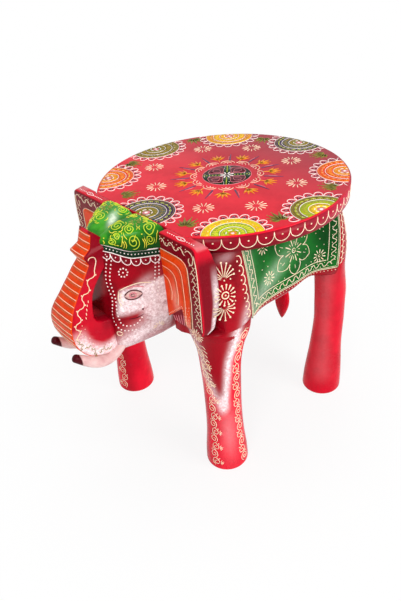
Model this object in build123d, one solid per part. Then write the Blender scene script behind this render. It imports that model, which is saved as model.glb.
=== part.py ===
"""Carved elephant stool, joined from separate hardwood pieces with dowels and round tenons.

The elephant faces -Y, its left side is +X and the floor is z = 0.  A round seat board with a straight
front edge lies on the torso and on the rabbets of the two ear slabs, and butts against the cap.
Four carved legs carry the torso on round tenons.  The head is doweled to the torso's front face, the
raised trunk bears on the face at its foot and on the cap at its tip, and the tusks, ears and tail
are separate carvings.  Reaches are measured forwards from the seat's centre, and the finished model
is then shifted so that the origin lies under the middle of its length.
"""
from build123d import *
import os

# ---- seat ----
seat_height = 305.0            # floor to the sitting face
seat_diameter = 285.0
seat_thickness = 17.0
seat_front_cut = 22.5          # how much the straight front edge takes off the round
seat_edge_round = 1.5

# ---- torso ----
torso_depth = 102.0            # seat's underside to the leg joints
ear_lap = 10.0                 # how far the seat board lies over the ears
rump_overhang = 46.5           # seat's edge to the rump
shoulder_step = 16.0           # shoulders ahead of the torso's front face
haunch_step = 6.5              # haunches behind the rump
side_overhang = 24.0           # seat's edge to the shoulders
flank_tuck = 11.5              # flanks narrower than the shoulders, each side
haunch_tuck = 2.0              # haunches narrower than the shoulders, each side
torso_taper = 12.0             # how much the sides draw in under the seat
flank_round = 20.0             # height over which the flank's lower edge turns under
flank_draw_front = 15.0        # how far that edge draws in, behind the front leg
flank_draw_rear = 30.0         # and ahead of the rear leg
corner_round = 30.0
belly_drop = 14.0
belly_half_width = 49.0
belly_round = 16.0

# ---- legs ----
foot_diameter = 51.0
foot_edge_round = 2.5
foot_inset = 22.5              # foot's axis inside the shoulder's side
front_foot_inset = 21.5        # foot's axis behind the shoulder's front
rear_foot_inset = 27.5         # foot's axis ahead of the haunch's back
front_ankle_diameter = 42.0
rear_ankle_diameter = 38.0
front_ankle_drop = 102.0       # leg's joint with the torso down to the ankle
rear_ankle_drop = 74.0
front_calf_swell = 2.0         # gain in radius from the ankle to the foot of the flare
rear_calf_swell = 0.4
front_flare_diameter = 66.0    # at the joint with the torso
rear_flare_diameter = 41.0
flare_length = 34.0            # over which the calf swells to the flare
front_ankle_lean = 0.0         # share of the leg's lean that is taken up at the ankle
rear_ankle_lean = 1.35
calf_lean = 0.2                # share of the rest that the calf takes up
tenon_diameter = 28.0
tenon_length = 42.0

# ---- head ----
neck_half_width = 50.0
face_reach = 74.0              # front of the face ahead of the torso's front face
brow_drop = 19.0               # seat's top face down to the lower edge of the cap
jaw_drop = 142.0               # seat's top face down to the jaw
cap_rise = 6.0                 # crown of the cap above the seat's top face
cap_overhang = 1.5             # how far the cap stands proud of the forehead
cap_draw = 18.0                # how much the cap draws in from its edge to its crown
groove_radius = 20.0           # valley between the two lobes of the cap
groove_depth = 5.0

# ---- ears ----
ear_thickness = 21.0
left_ear_inset = 36.5          # seat's edge to the ear's end
right_ear_inset = 29.5
ear_drop = 103.0               # seat's top face down to the ear's tip
ear_splay = 5.0                # how much further out the ear's end stands at its back
ear_heel = 14.0                # inner lower corner cut away from the ear, across and up
ear_toe = 44.0                 # height over which the ear's outer edge turns in to the tip
ear_toe_in = 10.0
ear_corner_round = 9.0
ear_border = 15.0
ear_dish_depth = 6.0
ear_slope_run = 6.0            # the back of the ear's top slopes away over this depth
ear_slope_drop = 24.0

# ---- trunk ----
trunk_rise = 7.0               # tip of the trunk above the seat's top face
trunk_tip_half_width = 12.0
trunk_waist_half_width = 14.5
trunk_root_half_width = 22.5
trunk_reach = 46.5             # foremost point of the trunk ahead of the face
trunk_belly_drop = 84.0        # seat's top face down to that foremost point
trunk_foot_drop = 132.5        # seat's top face down to the underside of the trunk's foot
trunk_waist_drop = 26.0        # seat's top face down to the narrow part under the lip
trunk_waist_reach = 7.0        # that part ahead of the face
trunk_lip = 5.0                # how far the lip stands off the narrow part
loop_length = 50.0             # opening between the trunk and the face, measured upwards
loop_width = 23.0
loop_lean = 9.0                # degrees that the opening's top leans back to the face

# ---- tusks ----
tusk_root_diameter = 14.0
tusk_tip_diameter = 8.5
tusk_reach = 51.0              # tip of the tusk ahead of the face
tusk_socket = 24.0             # tusk's root behind the front of the face
tusk_tip_drop = 117.0
tusk_root_drop = 134.5
tusk_tip_half_spread = 21.5
tusk_root_half_spread = 23.5
tusk_bow = 3.2                 # how far the tusk sags below a straight line

# ---- tail ----
tail_width = 13.0
tail_thickness = 11.0
tail_root_drop = 32.0          # seat's top face down to the top of the tail
tail_tip_height = 49.0
tuft_width = 24.0
tuft_length = 70.0

# ---- dowels ----
seat_dowel_diameter = 10.0
seat_dowel_length = 28.0
seat_dowel_in_seat = 10.0
seat_dowel_inset = 46.0        # shoulder's side to the seat dowels
seat_dowel_end = 38.0          # torso's front face and rump to the seat dowels
head_dowel_diameter = 12.0
head_dowel_length = 44.0
head_dowel_inset = 24.0        # side of the neck to the head dowels
head_dowel_drop = 66.0         # seat's top face down to the head dowels
ear_dowel_diameter = 8.0
ear_dowel_length = 28.0
ear_dowel_in_ear = 9.0
ear_dowel_inset = 28.0         # inner edge of the ear to its dowels
ear_dowel_pitch = 30.0
ear_dowel_gap = 7.0            # lower ear dowel clear of the legs' tenons
trunk_dowel_diameter = 8.0
trunk_dowel_length = 30.0
tail_dowel_diameter = 6.0
tail_dowel_length = 20.0
tail_dowel_in_tail = 6.0

# ---- levels above the floor ----
under_seat = seat_height - seat_thickness
leg_top = under_seat - torso_depth
belly_level = leg_top - belly_drop
brow_level = seat_height - brow_drop
jaw_level = seat_height - jaw_drop
crown = seat_height + cap_rise
ear_tip = seat_height - ear_drop
trunk_top = seat_height + trunk_rise
trunk_waist = seat_height - trunk_waist_drop
trunk_belly = seat_height - trunk_belly_drop
trunk_foot = seat_height - trunk_foot_drop

# ---- reaches forwards from the seat's centre ----
seat_radius = seat_diameter / 2
seat_front = seat_radius - seat_front_cut
torso_front = seat_front - ear_lap
shoulder_front = torso_front + shoulder_step
ear_front = torso_front + ear_thickness
face_front = torso_front + face_reach
trunk_front = face_front + trunk_reach
tusk_front = face_front + tusk_reach
rump = seat_radius - rump_overhang
haunch_back = rump + haunch_step
origin_shift = (tusk_front - seat_radius) / 2    # moves the origin to the middle of the length

# ---- half widths ----
shoulder_side = seat_radius - side_overhang
flank_side = shoulder_side - flank_tuck
haunch_side = shoulder_side - haunch_tuck
foot_x = shoulder_side - foot_inset

# Carved profiles, each as shares of the sizes above.
# Flank's rounded lower edge: share of its height, share of its draw.
FLANK_LEVELS = [(0.00, 1.00), (0.13, 0.50), (0.35, 0.24), (0.65, 0.06), (1.00, 0.0)]
# Torso above that edge: share of the height to the seat, share of the taper.
TORSO_LEVELS = [(0.30, 0.00), (0.46, 0.10), (0.62, 0.28), (0.78, 0.52), (0.90, 0.76), (1.00, 1.0)]
# Front and rear leg, up to the ankle: share of the height, share of the way to the ankle's radius.
FOOT_LEVELS = [(0.22, 0.20), (0.48, 0.62), (0.74, 0.90), (1.00, 1.0)]
# From the ankle to the flare: share of the height, share of the calf's swell.
CALF_LEVELS = [(0.33, 0.12), (0.66, 0.48), (1.00, 1.0)]
# The flare: share of its length, share of its growth, share of the way to the joint's axis.
FLARE_LEVELS = [(0.35, 0.12, 0.38), (0.70, 0.42, 0.70), (1.00, 1.0, 1.0)]
# Head under the cap, from the jaw up: share of the height, half width as a share of the neck's,
# half width of the blunt front as a share of the trunk's, how far the front reaches as a share of
# the face's reach, and how hollow the cheek is (a half is a round cheek, one is a flat one).
FACE_LEVELS = [
    (0.00, 0.36, 0.45, 0.84, 0.50),
    (0.07, 0.62, 0.80, 0.946, 0.50),
    (0.20, 0.84, 1.02, 0.994, 0.50),
    (0.37, 0.965, 1.16, 1.00, 0.50),
    (0.59, 1.00, 1.00, 0.973, 0.54),
    (0.80, 1.00, 0.72, 0.932, 0.62),
    (1.00, 0.98, 0.36, 0.878, 0.70),
]
# Stations along the cheek, as shares of the depth from the ears to the front.
CHEEK_STATIONS = [0.84, 0.62, 0.40, 0.20]
# Cap, from the brow up: share of its height, and share of its draw.
CAP_LEVELS = [(0.00, 0.0), (0.50, 0.0), (0.80, 0.11), (0.95, 0.39), (1.00, 1.0)]
# Tuft of the tail, from its tip up: share of the length, the tail's share and the tuft's share of
# the width, and the thickness as a share of the tail's.
TUFT_LEVELS = [
    (0.00, 0.10, 0.00, 0.20),
    (0.16, 0.10, 0.52, 1.00),
    (0.34, 0.10, 0.90, 1.40),
    (0.52, 0.10, 1.00, 1.50),
    (0.70, 1.00, 0.62, 1.30),
    (0.86, 1.00, 0.18, 1.08),
    (1.00, 1.00, 0.00, 1.00),
]
# Tusk, from the jaw to the tip: share of the length, and share of the bow.
TUSK_BOW = [(0.00, 0.0), (0.30, 0.94), (0.60, 1.0), (1.00, 0.0)]

PARTS = "parts"


def between(start, end, share):
    """Value that lies the given share of the way from start to end."""
    return start + (end - start) * share


def place(shape):
    """The shape moved from the seat's stations to the model's own origin."""
    return Pos(0, origin_shift, 0) * shape


def bar(start, end, diameter):
    """Round bar from one point to another."""
    axis = Vector(end) - Vector(start)
    return Plane(origin=start, z_dir=axis) * extrude(Circle(diameter / 2), axis.length)


def torso_outline(level, draw, tuck=0.0):
    """Plan of the torso at one level: full shoulders and haunches, and a drawn-in flank."""
    side = shoulder_side - draw
    waist = flank_side - draw
    hip = haunch_side - draw
    front = shoulder_front - draw * 0.4
    back = haunch_back - draw
    half = [
        (side - corner_round * 1.6, -front),
        (side - corner_round * 0.29, -front + corner_round * 0.29),
        (side, -front + corner_round * 1.15),
        (waist - flank_draw_front * tuck, -front * 0.42),
        (waist - between(flank_draw_front, flank_draw_rear, 0.6) * tuck, back * 0.08),
        (waist - flank_draw_rear * tuck, back * 0.42),
        (hip, back - corner_round),
        (hip - corner_round * 0.32, back - corner_round * 0.25),
        (hip - corner_round * 1.3, back),
        (hip - corner_round * 2.2, between(rump, back, 0.5)),
    ]
    points = [(0, -front)] + half + [(0, rump)] + [(-x, y) for x, y in half[::-1]]
    return Plane.XY.offset(level) * Wire(Spline(*points, periodic=True))


def make_torso():
    edge = [
        torso_outline(leg_top + flank_round * rise, 0.0, tuck)
        for rise, tuck in FLANK_LEVELS
    ]
    sides = [
        torso_outline(leg_top + torso_depth * rise, torso_taper * draw)
        for rise, draw in TORSO_LEVELS
    ]
    upper = loft([Face(wire) for wire in edge + sides], ruled=True)
    span = rump + torso_front - belly_round
    belly = loft([
        Pos(0, rump - belly_round - span / 2, leg_top + belly_round) * RectangleRounded(
            2 * belly_half_width, span, belly_round),
        Pos(0, rump - belly_round - span / 2, leg_top) * RectangleRounded(
            2 * belly_half_width, span, belly_round),
        Pos(0, rump - belly_round - span / 2, belly_level) * RectangleRounded(
            2 * (belly_half_width - belly_round), span - belly_round, belly_round / 2),
    ], ruled=True)
    body = upper + belly
    ahead = face_reach
    block = Box(2 * shoulder_side, ahead, torso_depth + ear_drop)
    body -= Pos(0, -torso_front - ahead / 2, ear_tip + (torso_depth + ear_drop) / 2) * block
    neck = Box(2 * neck_half_width, ahead, torso_depth + ear_drop)
    return body - Pos(0, -torso_front - ahead / 2, leg_top) * neck


def tenon_axis(side, front):
    if front:
        flare = front_flare_diameter / 2
        return side * (shoulder_side - flare), flare - shoulder_front
    flare = rear_flare_diameter / 2
    return side * (haunch_side - flare), haunch_back - flare


def make_leg(side, front):
    """Round foot, slim ankle, a calf that flares out under the torso, and a round tenon."""
    foot = foot_diameter / 2
    if front:
        foot_y, ankle_height = front_foot_inset - shoulder_front, leg_top - front_ankle_drop
        ankle, swell, flare = front_ankle_diameter / 2, front_calf_swell, front_flare_diameter / 2
        foot_lean = front_ankle_lean
    else:
        foot_y, ankle_height = haunch_back - rear_foot_inset, leg_top - rear_ankle_drop
        ankle, swell, flare = rear_ankle_diameter / 2, rear_calf_swell, rear_flare_diameter / 2
        foot_lean = rear_ankle_lean
    knee = leg_top - flare_length
    stations = [(0.0, foot - foot_edge_round, 0.0), (foot_edge_round, foot - foot_edge_round * 0.2, 0.0)]
    stations += [
        (ankle_height * up, between(foot, ankle, slim), foot_lean * up) for up, slim in FOOT_LEVELS
    ]
    stations += [
        (between(ankle_height, knee, up), ankle + swell * share,
         between(foot_lean, 1, calf_lean * up))
        for up, share in CALF_LEVELS
    ]
    stations += [
        (knee + flare_length * up, between(ankle + swell, flare, share),
         between(between(foot_lean, 1, calf_lean), 1, lean))
        for up, share, lean in FLARE_LEVELS
    ]
    top_x, top_y = tenon_axis(side, front)
    rings = [
        Pos(between(side * foot_x, top_x, lean), between(foot_y, top_y, lean), z) * Circle(radius)
        for z, radius, lean in stations
    ]
    return loft(rings) + make_tenon(side, front)


def make_tenon(side, front):
    x, y = tenon_axis(side, front)
    return Pos(x, y, leg_top) * extrude(Circle(tenon_diameter / 2), tenon_length)


def seat_round(low, high):
    """The seat's round with its straight front edge, between two levels."""
    disc = Pos(0, 0, low) * extrude(Circle(seat_radius), high - low)
    trim = Box(2 * seat_radius, seat_radius, 2 * high)
    return disc - Pos(0, -seat_front - seat_radius / 2, low) * trim


def make_seat():
    seat = seat_round(under_seat, seat_height)
    return fillet(seat.edges().filter_by(GeomType.CIRCLE), seat_edge_round)


def face_outline(level, half_width, blunt, reach, hollow):
    """Plan of the head at one level: flat sides beside the ears, curved cheeks, a blunt front."""
    cheek = [
        (between(blunt, half_width, (1 - deep) ** hollow), -between(ear_front, reach, deep))
        for deep in CHEEK_STATIONS
    ]
    curve = [(blunt, -reach)] + cheek + [(half_width, -ear_front)]
    lines = [
        Spline(*curve),
        Line((half_width, -ear_front), (half_width, -torso_front)),
        Line((half_width, -torso_front), (-half_width, -torso_front)),
        Line((-half_width, -torso_front), (-half_width, -ear_front)),
        Spline(*[(-x, y) for x, y in curve]),
        Line((-blunt, -reach), (blunt, -reach)),
    ]
    return Plane.XY.offset(level) * Face(Wire(lines))


def make_head():
    height = brow_level - jaw_level
    face = loft([
        face_outline(jaw_level + height * up, neck_half_width * wide, trunk_root_half_width * blunt,
                     torso_front + face_reach * reach, hollow)
        for up, wide, blunt, reach, hollow in FACE_LEVELS
    ])
    _, _, blunt, reach, hollow = FACE_LEVELS[-1]
    cap_blunt = trunk_root_half_width * blunt + cap_overhang
    cap_front = torso_front + face_reach * reach + cap_overhang
    cap = loft([
        face_outline(between(brow_level, crown, up), neck_half_width - cap_draw * draw,
                     cap_blunt, cap_front - cap_draw * draw, hollow)
        for up, draw in CAP_LEVELS
    ])
    cheek = ear_tip + ear_heel
    neck = Pos(0, -torso_front - ear_thickness / 2, (cheek + brow_level) / 2) * Box(
        2 * neck_half_width, ear_thickness, brow_level - cheek)
    valley = bar((0, -torso_front, crown + groove_radius - groove_depth),
                 (0, -face_front, crown + groove_radius - groove_depth), 2 * groove_radius)
    seat_room = Pos(0, -seat_front + face_reach / 2, under_seat + brow_drop) * Box(
        2 * seat_radius, face_reach, 2 * brow_drop)
    head = face + cap + neck - valley - seat_room
    between_ears = Pos(0, -face_front, brow_level) * Box(
        2 * neck_half_width, 4 * face_reach, 4 * jaw_drop)
    return head & between_ears


def make_trunk(head):
    """Side profile of the raised trunk, cut to its tapering front view and fitted to the head."""
    inside = between(-face_front, -ear_front, 0.25)
    waist = -face_front - trunk_waist_reach
    front = -trunk_front
    lip_level = between(trunk_waist, trunk_top, 0.31)
    with BuildSketch(Plane.YZ) as profile:
        with BuildLine():
            run = Spline(
                (inside, trunk_foot),
                (-face_front, trunk_foot),
                (between(-face_front, front, 0.62), between(trunk_foot, trunk_belly, 0.24)),
                (between(-face_front, front, 0.92), between(trunk_foot, trunk_belly, 0.55)),
                (front, trunk_belly),
                (between(waist, front, 0.79), between(trunk_belly, trunk_waist, 0.36)),
                (between(waist, front, 0.36), between(trunk_belly, trunk_waist, 0.73)),
                (waist, trunk_waist),
            )
            lip = Line(run @ 1, (waist - trunk_lip, lip_level))
            step = Line(lip @ 1, (waist + trunk_lip * 0.7, between(lip_level, trunk_top, 0.3)))
            tip = Line(step @ 1, (waist + trunk_lip * 2, trunk_top))
            top = Line(tip @ 1, (inside, trunk_top))
            Line(top @ 1, run @ 0)
        make_face()
        with Locations((-face_front - loop_width * 0.35, trunk_belly + loop_length * 0.42)):
            Ellipse(loop_width / 2, loop_length / 2, rotation=-loop_lean, mode=Mode.SUBTRACT)
    slab = extrude(profile.sketch, trunk_root_half_width, both=True)
    widths = [
        (trunk_tip_half_width, trunk_top),
        (trunk_waist_half_width, trunk_waist),
        (trunk_root_half_width, between(trunk_foot, trunk_belly, 0.9)),
        (trunk_root_half_width, trunk_foot),
    ]
    outline = widths + [(-w, z) for w, z in widths[::-1]]
    front_view = Plane.XZ * Polygon(*outline, align=None)
    shaft = (slab & extrude(front_view, tusk_front, both=True)) - head
    return max(shaft.solids(), key=lambda s: s.volume)


def make_tusk(side):
    """Tapering tusk that bows down and outwards, from its socket in the jaw to a blunt tip."""
    root = Vector(side * tusk_root_half_spread, -face_front + tusk_socket, seat_height - tusk_root_drop)
    tip = Vector(side * tusk_tip_half_spread, -tusk_front, seat_height - tusk_tip_drop)
    points = [root + (tip - root) * share - Vector(0, 0, tusk_bow * sag) for share, sag in TUSK_BOW]
    path = Spline(*points)
    rings = [
        Plane(origin=point, z_dir=(path % share) if point != tip else (0, -1, 0)) * Circle(
            between(tusk_root_diameter, tusk_tip_diameter, share ** 2) / 2)
        for point, (share, _) in zip(points, TUSK_BOW)
    ]
    return loft(rings)


def make_ear(side):
    """Ear slab with a splayed end and a dished front, let in under the seat board by a rabbet."""
    inner = neck_half_width
    outer = seat_radius - (left_ear_inset if side > 0 else right_ear_inset)
    plan = Polygon(
        (inner, -ear_front), (outer - ear_splay, -ear_front),
        (outer, -torso_front), (inner, -torso_front), align=None)
    slab = Pos(0, 0, ear_tip) * extrude(plan, ear_drop)
    with BuildSketch(Plane.XZ) as front_view:
        with BuildLine():
            Polyline(
                (inner, seat_height), (outer, seat_height), (outer, ear_tip + ear_toe),
                (outer - ear_toe_in, ear_tip), (inner + ear_heel, ear_tip),
                (inner, ear_tip + ear_heel), close=True)
        make_face()
        fillet(front_view.vertices().sort_by(Axis.Z)[-2:].sort_by(Axis.X)[-1], ear_corner_round)
    slab &= extrude(front_view.sketch, face_front, both=True)
    edge = outer - ear_splay - ear_border
    with BuildSketch(Plane.XZ.offset(ear_front)) as dish:
        with BuildLine():
            Polyline(
                (inner, seat_height - ear_border), (edge - ear_border, seat_height - ear_border),
                (edge, seat_height - 2 * ear_border), (edge, ear_tip + ear_border),
                (inner + 2 * ear_heel, ear_tip + ear_border * 0.4),
                (inner, ear_tip + ear_heel), close=True)
        make_face()
    slab -= extrude(dish.sketch, -ear_dish_depth)
    with BuildSketch(Plane.YZ) as wedge:
        with BuildLine():
            Polyline(
                (-torso_front - ear_slope_run, seat_height), (-torso_front, seat_height),
                (-torso_front, seat_height - ear_slope_drop), close=True)
        make_face()
    slab -= extrude(wedge.sketch, 2 * seat_radius, both=True)
    slab -= seat_round(under_seat, crown)
    return slab if side > 0 else mirror(slab, Plane.YZ)


def make_tail():
    """Carved tail that lies on the rump and ends in a pointed tuft below the belly."""
    centre = rump + tail_thickness / 2
    tuft_top = tail_tip_height + tuft_length
    stem = Pos(0, centre, tuft_top) * extrude(
        Ellipse(tail_width / 2, tail_thickness / 2), seat_height - tail_root_drop - tuft_top)
    rings = [
        Pos(0, centre, tail_tip_height + tuft_length * up) * Ellipse(
            between(tail_width * tip, tuft_width, wide) / 2, tail_thickness * thick / 2)
        for up, tip, wide, thick in TUFT_LEVELS
    ]
    return stem + loft(rings)


def seat_dowels():
    x = shoulder_side - seat_dowel_inset
    low = under_seat + seat_dowel_in_seat - seat_dowel_length
    return [
        Pos(side * x, y, low) * extrude(Circle(seat_dowel_diameter / 2), seat_dowel_length)
        for side in (-1, 1) for y in (seat_dowel_end - torso_front, rump - seat_dowel_end)
    ]


def head_dowels():
    x = neck_half_width - head_dowel_inset
    z = seat_height - head_dowel_drop
    half = head_dowel_length / 2
    return [
        bar((side * x, -torso_front - half, z), (side * x, -torso_front + half, z),
            head_dowel_diameter)
        for side in (-1, 1)
    ]


def ear_dowels(side):
    x = side * (neck_half_width + ear_dowel_inset)
    start = -torso_front - ear_dowel_in_ear
    low = leg_top + tenon_length + ear_dowel_gap + ear_dowel_diameter / 2
    return [
        bar((x, start, z), (x, start + ear_dowel_length, z), ear_dowel_diameter)
        for z in (low, low + ear_dowel_pitch)
    ]


def trunk_dowels():
    z = between(trunk_foot, trunk_belly, 0.45)
    half = trunk_dowel_length / 2
    return [bar((0, -face_front - half, z), (0, -face_front + half, z), trunk_dowel_diameter)]


def tail_dowels():
    z = between(leg_top, under_seat, 0.5)
    start = rump + tail_dowel_in_tail
    return [bar((0, start, z), (0, start - tail_dowel_length, z), tail_dowel_diameter)]


def cut_all(shape, tools):
    for tool in tools:
        shape = shape - tool
    return shape


def build():
    """Every piece as a list of solids under its node's name."""
    sides = {"left": 1, "right": -1}
    tusks = [make_tusk(side) for side in sides.values()]
    ear_pins = {name: ear_dowels(side) for name, side in sides.items()}
    tenons = [make_tenon(side, front) for side in (-1, 1) for front in (True, False)]
    torso_cuts = (tenons + seat_dowels() + head_dowels() + tail_dowels()
                  + ear_pins["left"] + ear_pins["right"])
    head = make_head()
    pieces = {
        "seat_board": [cut_all(make_seat(), seat_dowels())],
        "torso": [cut_all(make_torso(), torso_cuts)],
        "head": [cut_all(head, head_dowels() + trunk_dowels() + tusks)],
        "trunk": [cut_all(make_trunk(head), trunk_dowels() + tusks)],
        "tail": [cut_all(make_tail(), tail_dowels())],
        "seat_dowels": seat_dowels(),
        "head_dowels": head_dowels(),
        "trunk_dowel": trunk_dowels(),
        "tail_dowel": tail_dowels(),
    }
    for tusk, (name, side) in zip(tusks, sides.items()):
        pieces["tusk_" + name] = [tusk]
        pieces["ear_" + name] = [cut_all(make_ear(side), ear_pins[name])]
        pieces["ear_dowels_" + name] = ear_pins[name]
        pieces["leg_front_" + name] = [make_leg(side, True)]
        pieces["leg_rear_" + name] = [make_leg(side, False)]
    return pieces


def main():
    os.makedirs(PARTS, exist_ok=True)
    for name, shapes in build().items():
        solids = [place(solid) for shape in shapes for solid in shape.solids()]
        whole = solids[0] if len(solids) == 1 else Compound(children=solids)
        export_step(whole, os.path.join(PARTS, name + ".step"))


main()
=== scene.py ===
"""Painted elephant stool: carved hardwood, bright lacquer and raised lines of cone-laid paint.

Lengths are millimetres, measured from the floor under the seat's centre: the elephant faces -Y and
its left side is +X.  Each carved surface is a chart, a function from two numbers to points in space.
Every painted line, dot and field is drawn flat, laid on a chart and lifted off it along the normal.
"""
import bpy
import numpy as np
from mathutils import Matrix, Vector


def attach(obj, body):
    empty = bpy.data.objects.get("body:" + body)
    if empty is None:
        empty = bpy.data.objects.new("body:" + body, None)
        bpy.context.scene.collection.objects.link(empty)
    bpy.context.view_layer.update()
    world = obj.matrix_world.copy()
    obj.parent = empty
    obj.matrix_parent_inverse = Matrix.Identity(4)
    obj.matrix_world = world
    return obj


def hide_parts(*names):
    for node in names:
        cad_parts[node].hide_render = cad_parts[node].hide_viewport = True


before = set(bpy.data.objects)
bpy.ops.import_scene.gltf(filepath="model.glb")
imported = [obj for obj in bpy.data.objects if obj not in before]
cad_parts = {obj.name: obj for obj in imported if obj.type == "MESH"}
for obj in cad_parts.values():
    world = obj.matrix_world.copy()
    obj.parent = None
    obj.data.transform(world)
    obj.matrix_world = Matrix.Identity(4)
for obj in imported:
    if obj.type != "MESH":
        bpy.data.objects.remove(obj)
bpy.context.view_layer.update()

TAU = 2 * np.pi
SIDES = (("left", 1), ("right", -1))
SEAT_BACK = 46.25              # the seat's centre lies this far behind the model's origin
SEAT_TOP, SEAT_UNDER = 305.0, 288.0
SEAT_R, SEAT_FRONT = 142.5, 120.0
LEG_TOP = 186.0                # the torso's underside beside the legs
NECK_Y = -110.0                # flat joint between the torso and the ears
EAR_Y = -131.0                 # front of the ears
EAR_ENDS = {"left": 106.0, "right": 113.0}
LEG_ROUND = 23.0               # mm round a leg to the radian, in its chart
SUNK = 0.25                    # how deep paint is let into the wood under it


# ---------------------------------------------------------------- materials
GOUGE, HAIRS, MARKS = 13.0, 3.2, 1.6      # mm: ripples of the carving, dry-brush streaks, brush marks
SMOOTH, COLOUR = {"interpolation_type": "SMOOTHSTEP"}, {"data_type": "RGBA"}


def linear(colour):
    """sRGB hex to linear RGBA: the sRGB curve undone, channel by channel."""
    c = np.array([int(colour[i:i + 2], 16) for i in (1, 3, 5)]) / 255
    c = np.where(c <= 0.04045, c / 12.92, ((c + 0.055) / 1.055) ** 2.4)
    return (*c.tolist(), 1.0)


def node(tree, kind, settings=None, **links):
    """Adds a shader node with its settings and its input values or links.  An input is named, or
    given as _ and its number, and a node linked to one gives its first output."""
    made = tree.nodes.new("ShaderNode" + kind)
    for key, value in (settings or {}).items():
        setattr(made, key, value)
    for key, value in links.items():
        socket = made.inputs[int(key[1:]) if key[0] == "_" else key.replace("_", " ")]
        if isinstance(value, bpy.types.Node):
            value = value.outputs[0]
        if isinstance(value, bpy.types.NodeSocket):
            tree.links.new(value, socket)
        else:
            socket.default_value = value
    return made


def new_tree(name):
    """An empty node material and its tree."""
    made = bpy.data.materials.new(name)
    made.use_nodes = True
    made.node_tree.nodes.clear()
    return made, made.node_tree


def lacquer(name, base, deep, gloss=0.3, mottle=18.0, ripple=0.25, pale="#fff2f4", fade=None, dark=None,
            shine=0.09):
    """Brushed paint under clear lacquer.  The base colour is broken up by the deeper one at the
    given mottle in mm.  Over it go a colour faded in between two values of y, the dark one where
    the piece's mask for dark paint and painted shade says, and pale silver where its mask for
    silver brushing and painted highlights says, with its streaks opened up by the brush.  Slow
    ripples from the gouge and fine brush marks make the bump."""
    made, tree = new_tree(name)
    place = node(tree, "TexCoord").outputs["Object"]
    patches = node(tree, "TexNoise", Vector=place, Scale=1000 / mottle, Detail=5.0, Roughness=0.62)
    share = node(tree, "MapRange", SMOOTH, _0=patches, _1=0.36, _2=0.7)
    colour = node(tree, "Mix", COLOUR, _0=share, _6=linear(base), _7=linear(deep)).outputs[2]
    if fade:
        y = node(tree, "SeparateXYZ", _0=place).outputs[1]
        share = node(tree, "MapRange", SMOOTH, _0=y, _1=fade[1], _2=fade[2])
        colour = node(tree, "Mix", COLOUR, _0=share, _6=colour, _7=linear(fade[0])).outputs[2]
    # the dark colour where the mask asks: dark paint, and painted shade
    dark_paint_and_shade = node(tree, "Attribute", {"attribute_name": "dark_paint_and_shade"}).outputs["Fac"]
    colour = node(tree, "Mix", COLOUR, _0=dark_paint_and_shade, _6=colour, _7=linear(dark or deep)).outputs[2]
    # the pale silver where the mask asks: silver brushing, and painted highlights
    silver_and_highlight = node(tree, "Attribute", {"attribute_name": "silver_and_highlight"}).outputs["Fac"]
    streaks = node(tree, "TexNoise", Vector=place, Scale=1000 / HAIRS, Detail=6.0, Roughness=0.75)
    bare = node(tree, "MapRange", _0=streaks, _1=0.36, _2=0.62, _3=-0.38, _4=0.06)
    inner = node(tree, "MapRange", _0=silver_and_highlight, _1=0.22, _2=0.7)
    bare = node(tree, "Math", {"operation": "MULTIPLY"}, _0=bare, _1=inner)
    pale_share = node(tree, "Math", {"operation": "ADD", "use_clamp": True}, _0=silver_and_highlight, _1=bare)
    tint = node(tree, "MapRange", _0=streaks, _1=0.4, _2=0.66, _3=0.22, _4=0.0)
    pale_colour = node(tree, "Mix", COLOUR, _0=tint, _6=linear(pale), _7=colour).outputs[2]
    colour = node(tree, "Mix", COLOUR, _0=pale_share, _6=colour, _7=pale_colour).outputs[2]
    gouged = node(tree, "TexNoise", Vector=place, Scale=1000 / GOUGE, Detail=2.0, Roughness=0.5)
    marks = node(tree, "TexNoise", Vector=place, Scale=1000 / MARKS, Detail=2.0)
    heights = node(tree, "Math", {"operation": "MULTIPLY_ADD"}, _0=marks, _1=0.06, _2=gouged)
    bump = node(tree, "Bump", Height=heights, Strength=ripple, Distance=0.0016)
    rough = node(tree, "MapRange", _0=patches, _1=0.3, _2=0.7, _3=gloss - 0.05, _4=gloss + 0.08)
    shader = node(tree, "BsdfPrincipled", Base_Color=colour, Roughness=rough, Normal=bump,
                  Specular_IOR_Level=shine)
    node(tree, "OutputMaterial", Surface=shader)
    return made


def enamel(name, base, deep, mottle=5):
    """Enamel filled in with a small brush: nearly even colour, a soft shine and hardly any ripple."""
    return lacquer(name + "_enamel", base, deep, mottle=mottle, ripple=0.05)


def cone_paint(name, base, wear_and_sheen):
    """Thick acrylic squeezed from a cone: semi-matt, with slightly uneven colour along the line."""
    made, tree = new_tree(name + "_cone_paint")
    place = node(tree, "TexCoord").outputs["Object"]
    uneven = node(tree, "TexNoise", Vector=place, Scale=1000 / 5, Detail=3.0)
    share = node(tree, "MapRange", _0=uneven, _1=0.4, _2=0.75)
    colour = node(tree, "Mix", COLOUR, _0=share, _6=linear(base), _7=linear(wear_and_sheen)).outputs[2]
    node(tree, "OutputMaterial", Surface=node(tree, "BsdfPrincipled", Base_Color=colour, Roughness=0.45))
    return made


# lacquered wood: deep colour under a clear shine, wavy from the gouge, and darkened in the hollows by painted
# shade
RED = lacquer("bright_red_lacquer", "#de0a28", "#bd0a24", gloss=0.24, mottle=40, dark="#7a0216")
LEG_RED = lacquer("leg_red_lacquer", "#ee1432", "#d20a28", gloss=0.22, mottle=34, dark="#9c0418")
DARK_RED = lacquer("deep_red_lacquer", "#a20218", "#7c0212", gloss=0.22, mottle=34, dark="#5a020c")
GREEN = lacquer("green_lacquer", "#42a422", "#126a1a", gloss=0.18, mottle=15, pale="#f4fae8", dark="#053c0c")
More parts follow.
